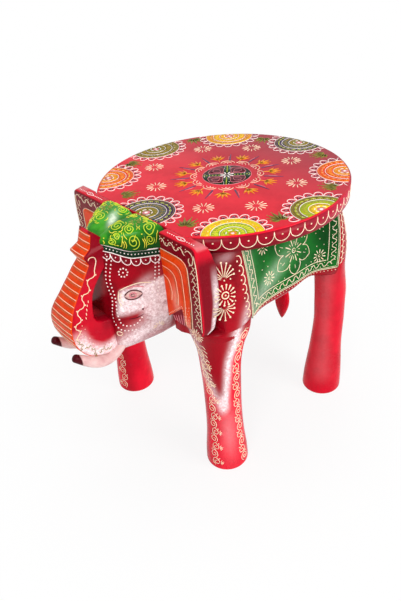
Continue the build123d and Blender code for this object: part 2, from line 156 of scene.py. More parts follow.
# the turned seat: smooth and less glossy; the cooler, darker red towards the back is painted shade
SEAT_RED = lacquer("seat_red_lacquer", "#e60f2d", "#d00a27", gloss=0.34, mottle=60, ripple=0.06,
                   fade=("#9c1c30", 0.0, 0.19), shine=0.14)
RIM_RED = lacquer("seat_rim_maroon_lacquer", "#960c22", "#760818", ripple=0.1, mottle=20,
                  fade=("#c42c48", 0.0, 0.13))
# second colours over the red: thinner, so flatter, and a little glossy
MAROON = lacquer("maroon_lacquer", "#840a1c", "#660614", mottle=20, ripple=0.1)
CLOTH_GREEN = lacquer("cloth_green_lacquer", "#0b6e1e", "#064a12", gloss=0.2, mottle=30, pale="#c8dfc4",
                      dark="#04340e")
DARK_GREEN = lacquer("dark_green_lacquer", "#06331a", "#031d0c", gloss=0.28, mottle=10, ripple=0.05)
ORANGE = lacquer("striped_orange_lacquer", "#f04808", "#dc3404", mottle=16, ripple=0.12, pale="#f0c8b4")
# tusks: pearly pink, with the tips dipped in maroon
PINK = lacquer("pink_silver_lacquer", "#e6c6c2", "#d09c9c", gloss=0.28, mottle=22, ripple=0.04,
               fade=("#4a0612", -0.1818, -0.1832))
EYE_PINK = enamel("pale_pink", "#e6bcb4", "#cf9a98", 4)
SLATE = enamel("slate", "#3e5660", "#24323c", 3)
OLIVE = enamel("olive", "#857c14", "#5f5a10", 3)
BROWN = enamel("olive_brown", "#857424", "#665a18", 4)
PURPLE = enamel("purple", "#46224e", "#20203c", 4)
LIME = enamel("lime", "#b4cc08", "#8faa06", 4)
YELLOW = enamel("yellow", "#f6d808", "#eab408")
AMBER = enamel("amber", "#f0980c", "#e07c08")
FLAME = enamel("flame_orange", "#f0500c", "#e23a08")
ROSE = enamel("rose", "#e08c94", "#cc606e")
WINE = enamel("wine", "#5e0820", "#3c0414")
# bare beech dowels: matt, pale brown
BEECH = lacquer("turned_beech", "#c9a06c", "#a97f4e", gloss=0.55, mottle=6)
CREAM = cone_paint("cream", "#fbe8cc", "#f0cfa4")
WHITE = cone_paint("white", "#fff4ef", "#f8d9d8")
GOLD = cone_paint("gold", "#f5ac20", "#e08c14")
# painted shadow: a dark line laid just beside a cream line
LINE_SHADOW = cone_paint("line_shadow", "#8a5a20", "#a3722c")
OLIVE_LINE = cone_paint("olive", "#b08a14", "#8a7c10")
YELLOW_LINE = cone_paint("yellow", "#f3e53a", "#e3cf2c")
LEMON = cone_paint("lemon", "#d8e428", "#b4cc1c")
SAGE = cone_paint("sage", "#948c2c", "#70661c")
PLUM = cone_paint("plum", "#4c1d4e", "#351436")
BLUSH = cone_paint("blush", "#e2808c", "#cf5a6c")


# ---------------------------------------------------------------- meshes
def both(*values):
    """The values as arrays of one shape."""
    return np.broadcast_arrays(*(np.asarray(v, float) for v in values))


def unit(v):
    """Vectors of length one."""
    return v / np.maximum(np.linalg.norm(v, axis=-1, keepdims=True), 1e-9)


def grid_faces(rows, cols, around):
    """Quads over a rows by cols array of points, closed round each row when asked."""
    index = np.arange(rows * cols).reshape(rows, cols)
    here = index if around else index[:, :-1]
    there = np.roll(index, -1, 1) if around else index[:, 1:]
    return np.stack([here[:-1], there[:-1], there[1:], here[1:]], -1).reshape(-1, 4)


def outward(verts, quads, tris=np.zeros((0, 3), int)):
    """The faces, turned over where the cones from the middle to them sum to a negative volume."""
    corners = np.concatenate([quads[:, [0, 1, 2]], quads[:, [0, 2, 3]], tris])
    p, q, r = np.moveaxis((verts - verts.mean(0))[corners], 1, 0)
    if np.sum(p * np.cross(q, r)) > 0:
        return verts, quads, tris
    return verts, quads[:, ::-1], tris[:, ::-1]


def skin(points):
    """Closed skin over rows of points that run round: quads between the rows, and a fan from the
    middle of the first and of the last row."""
    rows, cols, _ = points.shape
    verts = np.concatenate([points.reshape(-1, 3), points[[0, -1]].mean(1)])
    a = np.arange(cols)
    b = np.roll(a, -1)
    last, first_middle = (rows - 1) * cols, rows * cols
    tris = np.concatenate([np.stack([b, a, 0 * a + first_middle], 1),
                           np.stack([a + last, b + last, 0 * a + first_middle + 1], 1)])
    return outward(verts, grid_faces(rows, cols, True), tris)


def join(meshes):
    """Several (points, quads, triangles) as one, with each one's faces moved on past the points
    before it."""
    starts = np.cumsum([0] + [len(m[0]) for m in meshes[:-1]])
    return [np.concatenate([m[k] + (s if k else 0) for m, s in zip(meshes, starts)]) for k in range(3)]


def piece(name, mesh, material, stands_for=(), masks=None):
    """One named object from points, quads and triangles, in metres about the model's origin, with
    an attribute from 0 to 1 for each mask, a function of x, y and z."""
    verts, quads, tris = mesh
    data = bpy.data.meshes.new(name)
    data.vertices.add(len(verts))
    data.vertices.foreach_set("co", ((verts + (0, SEAT_BACK, 0)) * 0.001).astype(np.float32).ravel())
    corners = np.concatenate([quads.ravel(), tris.ravel()]).astype(np.int32)
    data.loops.add(len(corners))
    data.loops.foreach_set("vertex_index", corners)
    sizes = np.repeat([4, 3], [len(quads), len(tris)])
    data.polygons.add(len(sizes))
    data.polygons.foreach_set("loop_start", (np.cumsum(sizes) - sizes).astype(np.int32))
    data.update(calc_edges=True)
    data.validate()
    data.polygons.foreach_set("use_smooth", np.ones(len(data.polygons), bool))
    for mask, rule in (masks or {}).items():
        held = data.attributes.new(mask, "FLOAT", "POINT")
        held.data.foreach_set("value", np.clip(rule(*verts.T), 0, 1).astype(np.float32))
    data.materials.append(material)
    made = bpy.data.objects.new(name, data)
    bpy.context.scene.collection.objects.link(made)
    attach(made, "root")
    if stands_for:
        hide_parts(*stands_for)
    return made


# ---------------------------------------------------------------- curves
def through(knots, values, at):
    """Natural cubic spline through the values: second derivatives from the tridiagonal equations,
    then the cubic between the two knots on each side."""
    knots, values = np.asarray(knots, float), np.asarray(values, float)
    h = np.diff(knots)
    n = len(knots)
    left, right = np.zeros((n, n)), np.zeros((n, n))
    left[0, 0] = left[-1, -1] = 1
    for i in range(1, n - 1):
        left[i, i - 1:i + 2] = h[i - 1] / 6, (h[i - 1] + h[i]) / 3, h[i] / 6
        right[i, i - 1:i + 2] = 1 / h[i - 1], -1 / h[i - 1] - 1 / h[i], 1 / h[i]
    bend = np.linalg.solve(left, right @ values)
    at = np.clip(at, knots[0], knots[-1])
    i = np.clip(np.searchsorted(knots, at) - 1, 0, n - 2)
    b = (at - knots[i]) / h[i]
    a, step = 1 - b, h[i]
    if values.ndim > 1:
        a, b, step = a[..., None], b[..., None], step[..., None]
    bow = (a ** 3 - a) * bend[i] + (b ** 3 - b) * bend[i + 1]
    return a * values[i] + b * values[i + 1] + bow * step ** 2 / 6


def ease(x, low=0.0, high=1.0):
    """Smooth step: 3t^2 - 2t^3 between low and high."""
    t = np.clip((x - low) / (high - low), 0, 1)
    return t * t * (3 - 2 * t)


def hump(x, middle, width):
    """Bell of height one: exp of minus the squared distance in widths."""
    return np.exp(-((x - middle) / width) ** 2)


def along(line):
    """How far each point lies along its line, flat or in space."""
    steps = np.diff(np.asarray(line, float), axis=0)
    return np.concatenate([[0], np.cumsum(np.hypot.reduce(steps, axis=1))])


def sample(at, run, rows):
    """Rows read off a table at the given runs, in straight steps."""
    return np.stack([np.interp(at, run, column) for column in np.transpose(rows)], -1)


def curve(points, step=1.2):
    """Smooth line through a few points: a natural cubic on their running distance."""
    run = along(points)
    return through(run, points, np.linspace(0, run[-1], max(4, int(run[-1] / step))))


def evenly(line, gap):
    """Points a gap apart along a line, evened out to fill it."""
    run = along(line)
    return sample(np.linspace(0, run[-1], max(2, int(round(run[-1] / gap)) + 1)), run, line)


def middles(points):
    """Halfway between neighbouring points."""
    return (points[1:] + points[:-1]) / 2


def grid(u, v):
    """Places with the given first and second numbers."""
    return np.stack(both(u, v), -1)


def polar(r, a):
    """Flat places at a radius and an angle."""
    return grid(r * np.cos(a), r * np.sin(a))


def turns(count, first=0.0):
    """Angles spaced evenly round, the first a share of the space on."""
    return (np.arange(count) + first) * TAU / count


def swung(points, angle, shift=(0, 0)):
    """Flat points turned by an angle and then shifted."""
    c, s = np.cos(angle), np.sin(angle)
    return np.asarray(points, float) @ np.array([[c, s], [-s, c]]) + shift


def all_swung(many, angle, shift=(0, 0)):
    """Several lines, each turned and shifted."""
    return [swung(one, angle, shift) for one in many]


def circle(r, flat=1.0, start=0.0, end=TAU):
    """Circle, or a part of one, flattened by a share."""
    return polar(r, np.linspace(start, end, max(9, int(r * (end - start) / 1.1)))) * (1, flat)


def rays(count, near, far, first=0.0, spread=TAU):
    """Straight strokes outwards, evenly round, or evenly over a spread."""
    share = np.arange(count) / count if spread == TAU else np.linspace(-0.5, 0.5, count)
    return [polar(np.array([near, far]), a) for a in first + share * spread]


def petal(near, far, wide, sharp):
    """Outline of a petal from near to far: its half width is wide/2 times sin(pi s^sharp)."""
    s = np.linspace(0, 1, 9)
    out = grid(near + (far - near) * s, 0.5 * wide * np.sin(np.pi * s ** sharp) + 0.02)
    return np.concatenate([out, out[::-1] * (1, -1)])


def leaf(near, far, wide, angle=0.0, sharp=1.0):
    """Filled petal as three rows of places: one edge, the middle and the other edge."""
    s = np.linspace(0, 1, 7)
    half = 0.5 * wide * np.maximum(np.sin(np.pi * s ** sharp), 0.06)
    return swung(grid(near + (far - near) * s, half * np.array([[1], [0], [-1]])), angle)


def spiral(r, laps, angle=0.0, hand=1):
    """Line that winds in: its radius falls in step with its angle."""
    t = np.linspace(0, 1, max(10, int(r * laps * 2.2)))
    return polar(r * (1 - 0.86 * t), angle + hand * TAU * laps * t)


def swags(ends, sag):
    """Bows hung between neighbouring points: half ellipses that reach the sag from the chord."""
    t = np.linspace(0, np.pi, 11)[:, None]
    return [(a + b) / 2 - (b - a) / 2 * np.cos(t) + np.array(sag) * np.sin(t) ** 0.7
            for a, b in zip(ends[:-1], ends[1:])]


def wavy(line, high, pitch, phase=0.0):
    """A line that sways across another: high times the sine of the run along it, with its lobes
    rounded by drawing each point back along by the sine of twice that angle."""
    base = evenly(line, 0.6)
    way = unit(np.gradient(base, axis=0))
    across = grid(-way[:, 1], way[:, 0])
    turn = (TAU * along(base) / pitch + phase)[:, None]
    return base + across * high * np.sin(turn) - way * 0.03 * pitch * np.sin(2 * turn)


# ---------------------------------------------------------------- cone work
def slopes(chart, u, v, e=0.2):
    """How a chart's point moves for a step in each of its two numbers, from e either way."""
    return (chart(u + e, v) - chart(u - e, v)) / (2 * e), (chart(u, v + e) - chart(u, v - e)) / (2 * e)


def lifted(chart, turn, u, v, lift=0.0):
    """Points of a chart raised along its normal, the cross product of its two slopes, and the
    normals themselves."""
    normal = unit(turn * np.cross(*slopes(chart, u, v)))
    return chart(u, v) + normal * np.asarray(lift)[..., None], normal


def placed(chart, at, points):
    """Flat mm about a place laid on a chart: the steps in its two numbers that go as far sideways
    and up in its tangent plane there."""
    u, v = np.float64(at[0]), np.float64(at[1])
    su, sv = slopes(chart, u, v)
    right = unit(su)
    up = unit(sv - right * (sv @ right))
    x, y = np.moveaxis(np.asarray(points, float), -1, 0)
    dv = y / (sv @ up)
    return grid(u + (x - dv * (sv @ right)) / np.linalg.norm(su), v + dv)


def bead(line, width, start):
    """Even points along one raised line, with how wide it is at each: it widens from 'start' of its
    width by the power 0.7 of the way along, and both ends are round."""
    run = along(line)
    gap = min(1.3, max(run[-1] / 6, 0.3))
    at = np.linspace(0, run[-1], max(3, int(run[-1] / gap) + 1))
    end = np.clip(1 - np.minimum(at, run[-1] - at) / (0.5 * width), 0, 1)
    wide = width * (start + (1 - start) * (at / run[-1]) ** 0.7)
    return sample(at, run, line), wide * np.sqrt(np.clip(1 - end ** 2, 0.05, 1))


def raised(chart, turn, strokes):
    """Closed low beads: a section with its foot at half the width either side and its crown at
    0.27 of the width, carried along every line, across it and up the normal."""
    parts = [bead(line, width, start) for line, width, _, start in strokes]
    counts = [len(part[0]) for part in parts]
    spots, wide = (np.concatenate(column) for column in zip(*parts))
    full, high = (np.repeat([s[k] for s in strokes], counts) for k in (1, 2))
    high = high * np.clip(wide / full * 1.6, 0.3, 1)
    last = np.repeat(np.cumsum(counts) - 1, counts)
    first = last + 1 - np.repeat(counts, counts)
    i = np.arange(len(spots))
    p, normal = lifted(chart, turn, *spots.T)
    across = unit(np.cross(normal, p[np.minimum(i + 1, last)] - p[np.maximum(i - 1, first)]))
    side = np.array([-0.5, -0.27, 0.27, 0.5])[:, None] * wide[:, None, None]
    up = np.stack([0 * high - SUNK, high, high, 0 * high - SUNK], 1)[..., None]
    verts = (p[:, None] + across[:, None] * side + normal[:, None] * up).reshape(-1, 3)
    a = i[i < last] * 4
    quads = [np.stack([a + k, a + (k + 1) % 4, a + 4 + (k + 1) % 4, a + 4 + k], 1) for k in range(4)]
    quads += [np.unique(first)[:, None] * 4 + [3, 2, 1, 0], np.unique(last)[:, None] * 4 + [0, 1, 2, 3]]
    return outward(verts, np.concatenate(quads))


def domes(chart, turn, spots):
    """Closed low domes: rings of eight at the foot and at three quarters of the height, and a crown."""
    u, v, r, high = np.transpose(spots)[..., None, None]
    p, normal = lifted(chart, turn, u[:, :, 0], v[:, :, 0])
    a = unit(np.cross(normal, (0.31, 0.53, 0.79)))
    t = turns(8)[:, None]
    ring = (np.cos(t) * a + np.sin(t) * np.cross(normal, a)) * r
    verts = np.concatenate([p + ring - normal * SUNK, p + ring * 0.72 + normal * high * 0.75,
                            p - normal * SUNK, p + normal * high], 1)
    start = np.arange(len(spots))[:, None] * 18
    k = start + np.arange(8)
    n = start + (np.arange(8) + 1) % 8
    quads = np.stack([k, n, n + 8, k + 8], -1).reshape(-1, 4)
    under = np.stack([n, k, start + 16 + 0 * k], -1)
    over = np.stack([k + 8, n + 8, start + 17 + 0 * k], -1)
    return outward(verts.reshape(-1, 3), quads, np.concatenate([under, over]).reshape(-1, 3))


def slab(chart, turn, places, lift):
    """Closed thin field of paint over a grid of places: its top raised, its underside sunk in."""
    u, v = np.moveaxis(places, -1, 0)
    top, low = (lifted(chart, turn, u, v, h)[0].reshape(-1, 3) for h in (lift, -SUNK))
    index = np.arange(u.size).reshape(u.shape)
    rim = np.concatenate([index[0, :-1], index[:-1, -1], index[-1, :0:-1], index[:0:-1, 0]])
    onward = np.roll(rim, -1)
    over = grid_faces(*u.shape, False)
    wall = np.stack([onward, rim, rim + u.size, onward + u.size], 1)
    return outward(np.concatenate([top, low]), np.concatenate([over, over[:, ::-1] + u.size, wall]))


class Brush:
    """One area's paint on one chart.  It collects lines, dots and fields by paint, and makes one
    closed piece of each paint.  'turn' is -1 where the chart's own normal points inwards, and
    'keep' says which places may be painted."""

    def __init__(self, name, chart, turn=1, keep=None):
        self.name, self.chart, self.turn, self.keep = name, chart, turn, keep
        self.strokes, self.spots, self.fields = {}, {}, {}

    def lines(self, paint, many, width=1.25, high=0.45, start=1.0):
        """Raised lines, cut where they leave the places that may be painted."""
        for one in many:
            runs = [np.asarray(one, float)]
            if self.keep:
                points = evenly(one, 0.6)
                good = self.keep(*points.T)
                cuts = np.flatnonzero(np.diff(good)) + 1
                parts = zip(np.split(points, cuts), np.split(good, cuts))
                runs = [run for run, shown in parts if shown[0] and len(run) > 2]
            self.strokes.setdefault(paint, []).extend((run, width, high, start) for run in runs)

    def line(self, paint, points, **how):
        """One raised line."""
        self.lines(paint, [points], **how)

    def stamp(self, paint, at, many, **how):
        """Lines given in flat mm about a place."""
        self.lines(paint, [placed(self.chart, at, one) for one in many], **how)

    def dots(self, paint, points, radius=0.95, high=0.5):
        points = np.atleast_2d(points)
        if self.keep:
            points = points[self.keep(*points.T)]
        self.spots.setdefault(paint, []).extend([(u, v, radius, high) for u, v in points])

    def stamp_dots(self, paint, at, points, **how):
        """Dots given in flat mm about a place."""
        self.dots(paint, placed(self.chart, at, points), **how)

    def field(self, paint, places, lift=0.15):
        self.fields.setdefault(paint, []).append(slab(self.chart, self.turn, places, lift))

    def done(self, masks=None):
        """Makes the pieces.  Masks go to the fields."""
        for paint in {**self.strokes, **self.spots}:
            made = [work(self.chart, self.turn, store[paint])
                    for work, store in ((raised, self.strokes), (domes, self.spots)) if store.get(paint)]
            if made:
                piece(f"{self.name}_{paint.name}", join(made), paint)
        for paint, meshes in self.fields.items():
            piece(f"{self.name}_{paint.name}_field", join(meshes), paint, masks=masks)


def vine(brush, line, high, pitch, width, fans=0):
    """Scroll border: a swaying stem, a hooked tendril and a dot in each hollow, and where asked a
    fan of strokes beyond every other hollow on one side.  The hook is drawn for a pitch of 21."""
    brush.line(CREAM, wavy(line, high, pitch), width=width)
    run = along(line)
    spots = np.arange(pitch * 0.25, run[-1] - pitch * 0.2, pitch / 2)
    base = sample(spots, run, line)
    ahead = sample(spots + 1, run, line) - base
    size = pitch / 21
    hook = curve([(5.2, 0.4), (3.4, 3.0), (0.3, 4.3), (-2.6, 2.6), (-2.2, -0.2), (0.3, -0.7), (1.5, 1.1),
                  (0.1, 1.8)], 0.5) * size
    for k, (p, a) in enumerate(zip(base, np.arctan2(ahead[:, 1], ahead[:, 0]))):
        hand = 1 if k % 2 else -1
        brush.line(CREAM, swung(hook * (1, hand), a, p), width=width)
        brush.dots(CREAM, swung((4.9 * size, 4.2 * size * hand), a, p), radius=0.85 * size ** 0.5)
        if hand == fans:
            tip = swung((0, hand * 5.0 * size), a, p)
            fan = all_swung(rays(4, 0.8, 4.4, 0.0, 2.0), a + hand * np.pi / 2, tip)
            brush.lines(CREAM, fan, width=1.0, start=0.6)


# ---------------------------------------------------------------- torso
SHOULDER, FLANK, HAUNCH = 118.5, 107.0, 116.5
SHOULDER_FRONT, RUMP, HAUNCH_BACK = 126.0, 96.0, 102.5
DRAWN_FROM = 216.6             # the sides draw in above this height
PLAN_STEPS = 1600


def torso_control(z):
    """Control points of the torso's plan at each level: the sides draw in under the seat, and the
    flank turns under like a quarter round over its lowest 20 mm."""
    z = np.asarray(z, float)[..., None]
    draw = 12 * np.clip((z - DRAWN_FROM) / (SEAT_UNDER - DRAWN_FROM), 0, 1) ** 1.65
    under = np.clip((z - LEG_TOP) / 20, 0, 1)
    tuck = 1 - np.sqrt(1 - (1 - under) ** 2)
    side, waist, hip = SHOULDER - draw, FLANK - draw, HAUNCH - draw
    front, back = SHOULDER_FRONT - draw * 0.4, HAUNCH_BACK - draw
    half = [(side - 48, -front), (side - 8.7, 8.7 - front), (side, 34.5 - front),
            (waist - 15 * tuck, -front * 0.42), (waist - 24 * tuck, back * 0.08),
            (waist - 30 * tuck, back * 0.42), (hip, back - 30), (hip - 9.6, back - 7.5),
            (hip - 39, back), (hip - 66, (RUMP + back) / 2)]
    zero = 0 * z
    ring = [(zero, -front)] + half + [(zero, zero + RUMP)] + [(-x, y) for x, y in half[::-1]]
    return np.concatenate([np.stack(pair, -1) for pair in ring], -2)


def plan_weights(knots, count):
    """How much each control point counts along the closed plan, from a spline run through one
    point at a time with the ring repeated either side."""
    around = np.concatenate([knots[:-1] - knots[-1], knots[:-1], knots + knots[-1]])
    ones = np.eye(count)[np.arange(3 * count + 1) % count]
    return through(around, ones, PLAN_S)


PLAN = torso_control(200.0)
PLAN_KNOTS = along(np.concatenate([PLAN, PLAN[:1]]))
PLAN_LENGTH = PLAN_KNOTS[-1]
PLAN_S = np.linspace(0, PLAN_LENGTH, PLAN_STEPS + 1)
PLAN_W = plan_weights(PLAN_KNOTS, len(PLAN))


def torso_wall(s, z):
    """Point of the torso's side at s mm round its plan from the front, at height z."""
    s, z = both(s, z)
    at = np.mod(s, PLAN_LENGTH) / PLAN_LENGTH * PLAN_STEPS
    low = np.minimum(at.astype(int), PLAN_STEPS - 1)
    share = (at - low)[..., None]
    weights = PLAN_W[low] * (1 - share) + PLAN_W[low + 1] * share
    xy = np.einsum("...k,...kc->...c", weights, torso_control(z))
    return np.concatenate([xy, z[..., None]], -1)


def flank(side):
    """Chart of the torso's side wall by station y and height z: s is found by Newton's steps on
    the plan, starting from a straight guess."""
    half = PLAN_S[:PLAN_STEPS // 2 + 1]
    stations = torso_wall(half, 230.0)[:, 1]
    keep = slice(int(np.argmin(stations)) + 1, int(np.argmax(stations)))

    def chart(y, z):
        y, z = both(y, z)
        s = np.interp(y, stations[keep], half[keep])
        for _ in range(5):
            here, ahead = torso_wall(s, z)[..., 1], torso_wall(s + 0.5, z)[..., 1]
            s = s + np.clip((y - here) / np.maximum((ahead - here) / 0.5, 0.08), -6, 6)
        return torso_wall(s, z) * (side, 1, 1)
    return chart


# ---------------------------------------------------------------- legs
# radius and share of the lean from foot to top at each height, and the axis's two ends
FRONT_LEG = {"z": [0, 18.5, 40, 62, 84, 106, 129, 152, 164, 176, 186, 204],
             "r": [25.3, 24.6, 22.7, 21.45, 21, 21.2, 21.8, 23, 24.6, 27.4, 31, 33],
             "lean": [0, 0, 0, 0, 0, 0.07, 0.13, 0.2, 0.5, 0.76, 1, 1],
             "foot": (96.0, -104.5), "top": (85.5, -93.0), "flare": 33.0}
REAR_LEG = {"z": [0, 24.6, 54, 83, 112, 125, 139, 152, 164, 176, 186, 204],
            "r": [25.3, 24.2, 21.5, 19.6, 19, 19.05, 19.2, 19.4, 19.6, 20, 20.5, 21],
            "lean": [0, 0.3, 0.65, 1.0, 1.35, 1.33, 1.3, 1.28, 1.2, 1.1, 1, 1],
            "foot": (96.0, 75.0), "top": (96.0, 82.0), "flare": 20.5}
LEGS = (("front", FRONT_LEG), ("rear", REAR_LEG))


def leg_edges(kind):
    """The torso's plan just above the leg as angle and distance about the leg's top, no further
    out than the leg's own flare allows."""
    plan = torso_wall(PLAN_S, 206.0)[:, :2] - kind["top"]
    plan = plan[np.hypot(*plan.T) < 2.2 * kind["flare"]]
    angle = np.arctan2(plan[:, 1], plan[:, 0])
    order = np.argsort(angle)
    return angle[order], np.minimum(np.hypot(*plan.T)[order], kind["flare"] * 1.05)


for _, kind in LEGS:
    kind["edges"] = leg_edges(kind)


def leg_reach(kind, a, z):
    """Radius of a leg: its own profile, which eases out over z 150 to 200 to meet the torso's plan."""
    turn = np.mod(a + np.pi, TAU) - np.pi
    edge = np.interp(turn, *kind["edges"], left=kind["flare"], right=kind["flare"])
    return through(kind["z"], kind["r"], z) + (edge - kind["r"][-1]) * ease(z, 150, 200)


def leg(kind, side):
    """Chart of a leg by mm round, from the outer side, and height z: a circle about a leaning
    axis, its foot rounded off over the lowest 2.5 mm."""
    def chart(w, z):
        w, z = both(w, z)
        a = w / LEG_ROUND
        lean = through(kind["z"], kind["lean"], z)[..., None]
        r = leg_reach(kind, a, z) - 2.2 * (1 - np.sqrt(1 - (1 - np.clip(z / 2.5, 0, 1)) ** 2))
        foot, top = np.array(kind["foot"]), np.array(kind["top"])
        xy = foot + (top - foot) * lean + polar(r, a)
        return np.concatenate([xy * (side, 1), z[..., None]], -1)
    return chart


def leg_mesh(kind, side):
    """A leg up into the torso, with its foot drawn in and its top closed over in three rings."""
    z = np.concatenate([[0, 0.3, 0.8, 1.6, 2.6], np.linspace(5, 202, 80)])
    rows = leg(kind, side)(np.linspace(0, LEG_ROUND * TAU, 84, endpoint=False), z[:, None])
    middle = rows.mean(1, keepdims=True)
    inset, rise = np.array([0.965, 0.9, 0.5]), np.array([(0, 0, 1), (0, 0, 4), (0, 0, 6)])
    over = middle[-1:] + (rows[-1:] - middle[-1:]) * inset[:, None, None] + rise[:, None]
    rows = np.concatenate([middle[:1] + (rows[:1] - middle[:1]) * 0.9, rows, over])
    rows[..., 1] = np.where(rows[..., 2] > 201.6, np.maximum(rows[..., 1], NECK_Y - 0.2), rows[..., 1])
    return skin(rows)


def torso_mesh():
    """Walls between the leg joints and the seat, closed by a flat top and a rounded belly.  Where a
    leg meets the torso, the wall below the joint stays just inside the leg."""
    s = np.linspace(0, PLAN_LENGTH, 300, endpoint=False)
    z = np.concatenate([LEG_TOP + 20 * (1 - np.cos(np.linspace(0, np.pi / 2, 18))),
                        np.linspace(207, SEAT_UNDER - 0.1, 40)])
    wall = torso_wall(s, z[:, None])
    height = wall[..., 2]
    for _, kind in LEGS:
        for _, side in SIDES:
            out = wall[..., :2] * (side, 1) - kind["top"]
            far = np.hypot(out[..., 0], out[..., 1])
            reach = leg_reach(kind, np.arctan2(out[..., 1], out[..., 0]), height)
            pull = np.maximum(far - reach + 0.7, 0) * (1 - ease(height, 202.5, 204.5))
            pull *= 1 - ease(far, kind["flare"] * 1.06, kind["flare"] * 1.25)
            wall[..., :2] -= out * (side, 1) * (pull / np.maximum(far, 1))[..., None]
    flat_front = (height > 202) | (np.abs(wall[..., 0]) < 50)
    wall[..., 1] = np.where(flat_front, np.maximum(wall[..., 1], NECK_Y), wall[..., 1])
    shrink = np.linspace(1, 0.04, 16)[1:, None, None]
    middle = np.array([0.0, -8.0])
    under = middle + (wall[0, :, :2] - middle) * shrink
    flat = 1 - ease(np.hypot(under[..., 0] / 70, (under[..., 1] + 6) / 100), 0.55, 1.0)
    under = np.concatenate([under, (LEG_TOP - 14 * flat)[..., None]], -1)
    over = middle + (wall[-1, :, :2] - middle) * shrink[::5]
    over = np.concatenate([over, np.full((*over.shape[:2], 1), SEAT_UNDER - 0.1)], -1)
    return skin(np.concatenate([under[::-1], wall, over]))


# ---------------------------------------------------------------- head
# at each height: half width, half width of the blunt front, reach ahead, and how full the cheek is
FACE = {"z": [163, 171.6, 187.6, 208.5, 235.6, 261.4, 287],
        "wide": [18, 31, 42, 48.3, 50, 50, 49],
        "blunt": [10.1, 18, 23, 26.1, 22.5, 16.2, 8.1],
        "reach": [172, 180, 183.5, 184, 182, 179, 175],
        "hollow": [0.5, 0.5, 0.5, 0.5, 0.54, 0.62, 0.7]}


def face_levels(z, *names):
    """The face's measures at a height."""
    return [through(FACE["z"], FACE[name], z) for name in names]


def face(p, z):
    """Point of the head: p runs from the middle of the face (0) over the cheek to the ear (0.85)
    and back beside the neck (1), negative on the right.  Along the cheek x grows as a power of
    the share t and y falls back as its square."""
    p, z = both(p, z)
    wide, blunt, reach, hollow = face_levels(z, "wide", "blunt", "reach", "hollow")
    q = np.abs(p)
    t = np.clip((q - 0.2) / 0.65, 0, 1)
    x = np.where(q < 0.2, blunt * q / 0.2, blunt + (wide - blunt) * t ** (2 * hollow))
    y = EAR_Y - (reach + EAR_Y) * (1 - t * t) + 21 * np.clip((q - 0.85) / 0.15, 0, 1)
    return np.stack([np.sign(p) * x, y, z], -1)


def cheek(x, z):
    """Chart of the face by x and height: the share p at which the cheek is x mm from the middle."""
    x, z = both(x, z)
    wide, blunt, hollow = face_levels(z, "wide", "blunt", "hollow")
    q = np.abs(x)
    t = np.clip((q - blunt) / (wide - blunt), 0, 1) ** (1 / (2 * hollow))
    return face(np.sign(x) * np.where(q < blunt, 0.2 * q / blunt, 0.2 + 0.65 * t), z)


def head_mesh():
    """The head's walls from the jaw up into the cap, closed below in three rings."""
    p = np.concatenate([np.linspace(-1, -0.85, 6), np.linspace(-0.84, 0.84, 150), np.linspace(0.85, 1, 6)])
    rows = face(p, np.linspace(163, 296, 84)[:, None])
    low = rows[0].mean(0)
    start = low + (rows[0] - low) * np.array([0.4, 0.7, 0.9])[:, None, None]
    start[..., 2] = [[161.6], [161.9], [162.3]]
    return skin(np.concatenate([start, rows]))


BROW_P = np.linspace(-0.85, 0.85, 241)
BROW = face(BROW_P, 287.0)[:, :2]
BROW_RUN = along(BROW) - along(BROW)[120]


def cap_foot(y):
    """Height of the cap's lower edge: level beside the ears, higher over the trunk."""
    return 288 + 9 * ease(-y, 152, 176)


def hem(q, h):
    """Chart of the head just below the cap: q mm round the brow from the middle, h mm down."""
    q, h = both(q, h)
    return face(np.interp(q, BROW_RUN, BROW_P), cap_foot(np.interp(q, BROW_RUN, BROW[:, 1])) - h)


# ---------------------------------------------------------------- cap
CAP_MIDDLE = np.array([0.0, -141.0])
CAP_POWER, CAP_ROUND = 7, 0.3  # powers of the cap's section


def cap_reach():
    """Polar table of the cap's plan about its middle: the brow's outline, a little proud, and a
    straight back against the seat's front edge."""
    rim = BROW + np.sign(BROW - CAP_MIDDLE) * 1.2
    corner = rim[-1, 0], -SEAT_FRONT - 0.4
    ends = np.linspace((rim[-1, 0], EAR_Y), corner, 20)
    back = np.linspace(corner, (rim[0, 0], corner[1]), 80)
    loop = np.concatenate([rim, ends, back, ends[::-1] * (-1, 1)]) - CAP_MIDDLE
    angle = np.arctan2(loop[:, 1], loop[:, 0])
    order = np.argsort(angle)
    return angle[order], np.hypot(*loop.T)[order]


CAP_TABLE = cap_reach()


def cap(a, share):
    """Point of the cap at angle a and a share of the way from its middle (0) to its edge (1).  Its
    section is a superellipse, (1 - share^7)^0.3, and a valley runs back between two lobes."""
    a, share = both(a, share)
    reach = np.interp(a, *CAP_TABLE, period=TAU)
    x, y = np.moveaxis(CAP_MIDDLE + polar(reach * share, a), -1, 0)
    low = cap_foot(CAP_MIDDLE[1] + reach * np.sin(a)) - 0.5
    top = 311 - 4.5 * hump(x, 0, 7) - 7 * ease(-y, 146, 180) - 2.0 * hump(y, -120, 4)
    return np.stack([x, y, low + (top - low) * np.clip(1 - share ** CAP_POWER, 0, 1) ** CAP_ROUND], -1)


def cap_top(x, y):
    """Chart of the cap by its place in plan."""
    dx, dy = x - CAP_MIDDLE[0], y - CAP_MIDDLE[1]
    a = np.arctan2(dy, dx)
    return cap(a, np.minimum(np.hypot(dx, dy) / np.interp(a, *CAP_TABLE, period=TAU), 0.999))


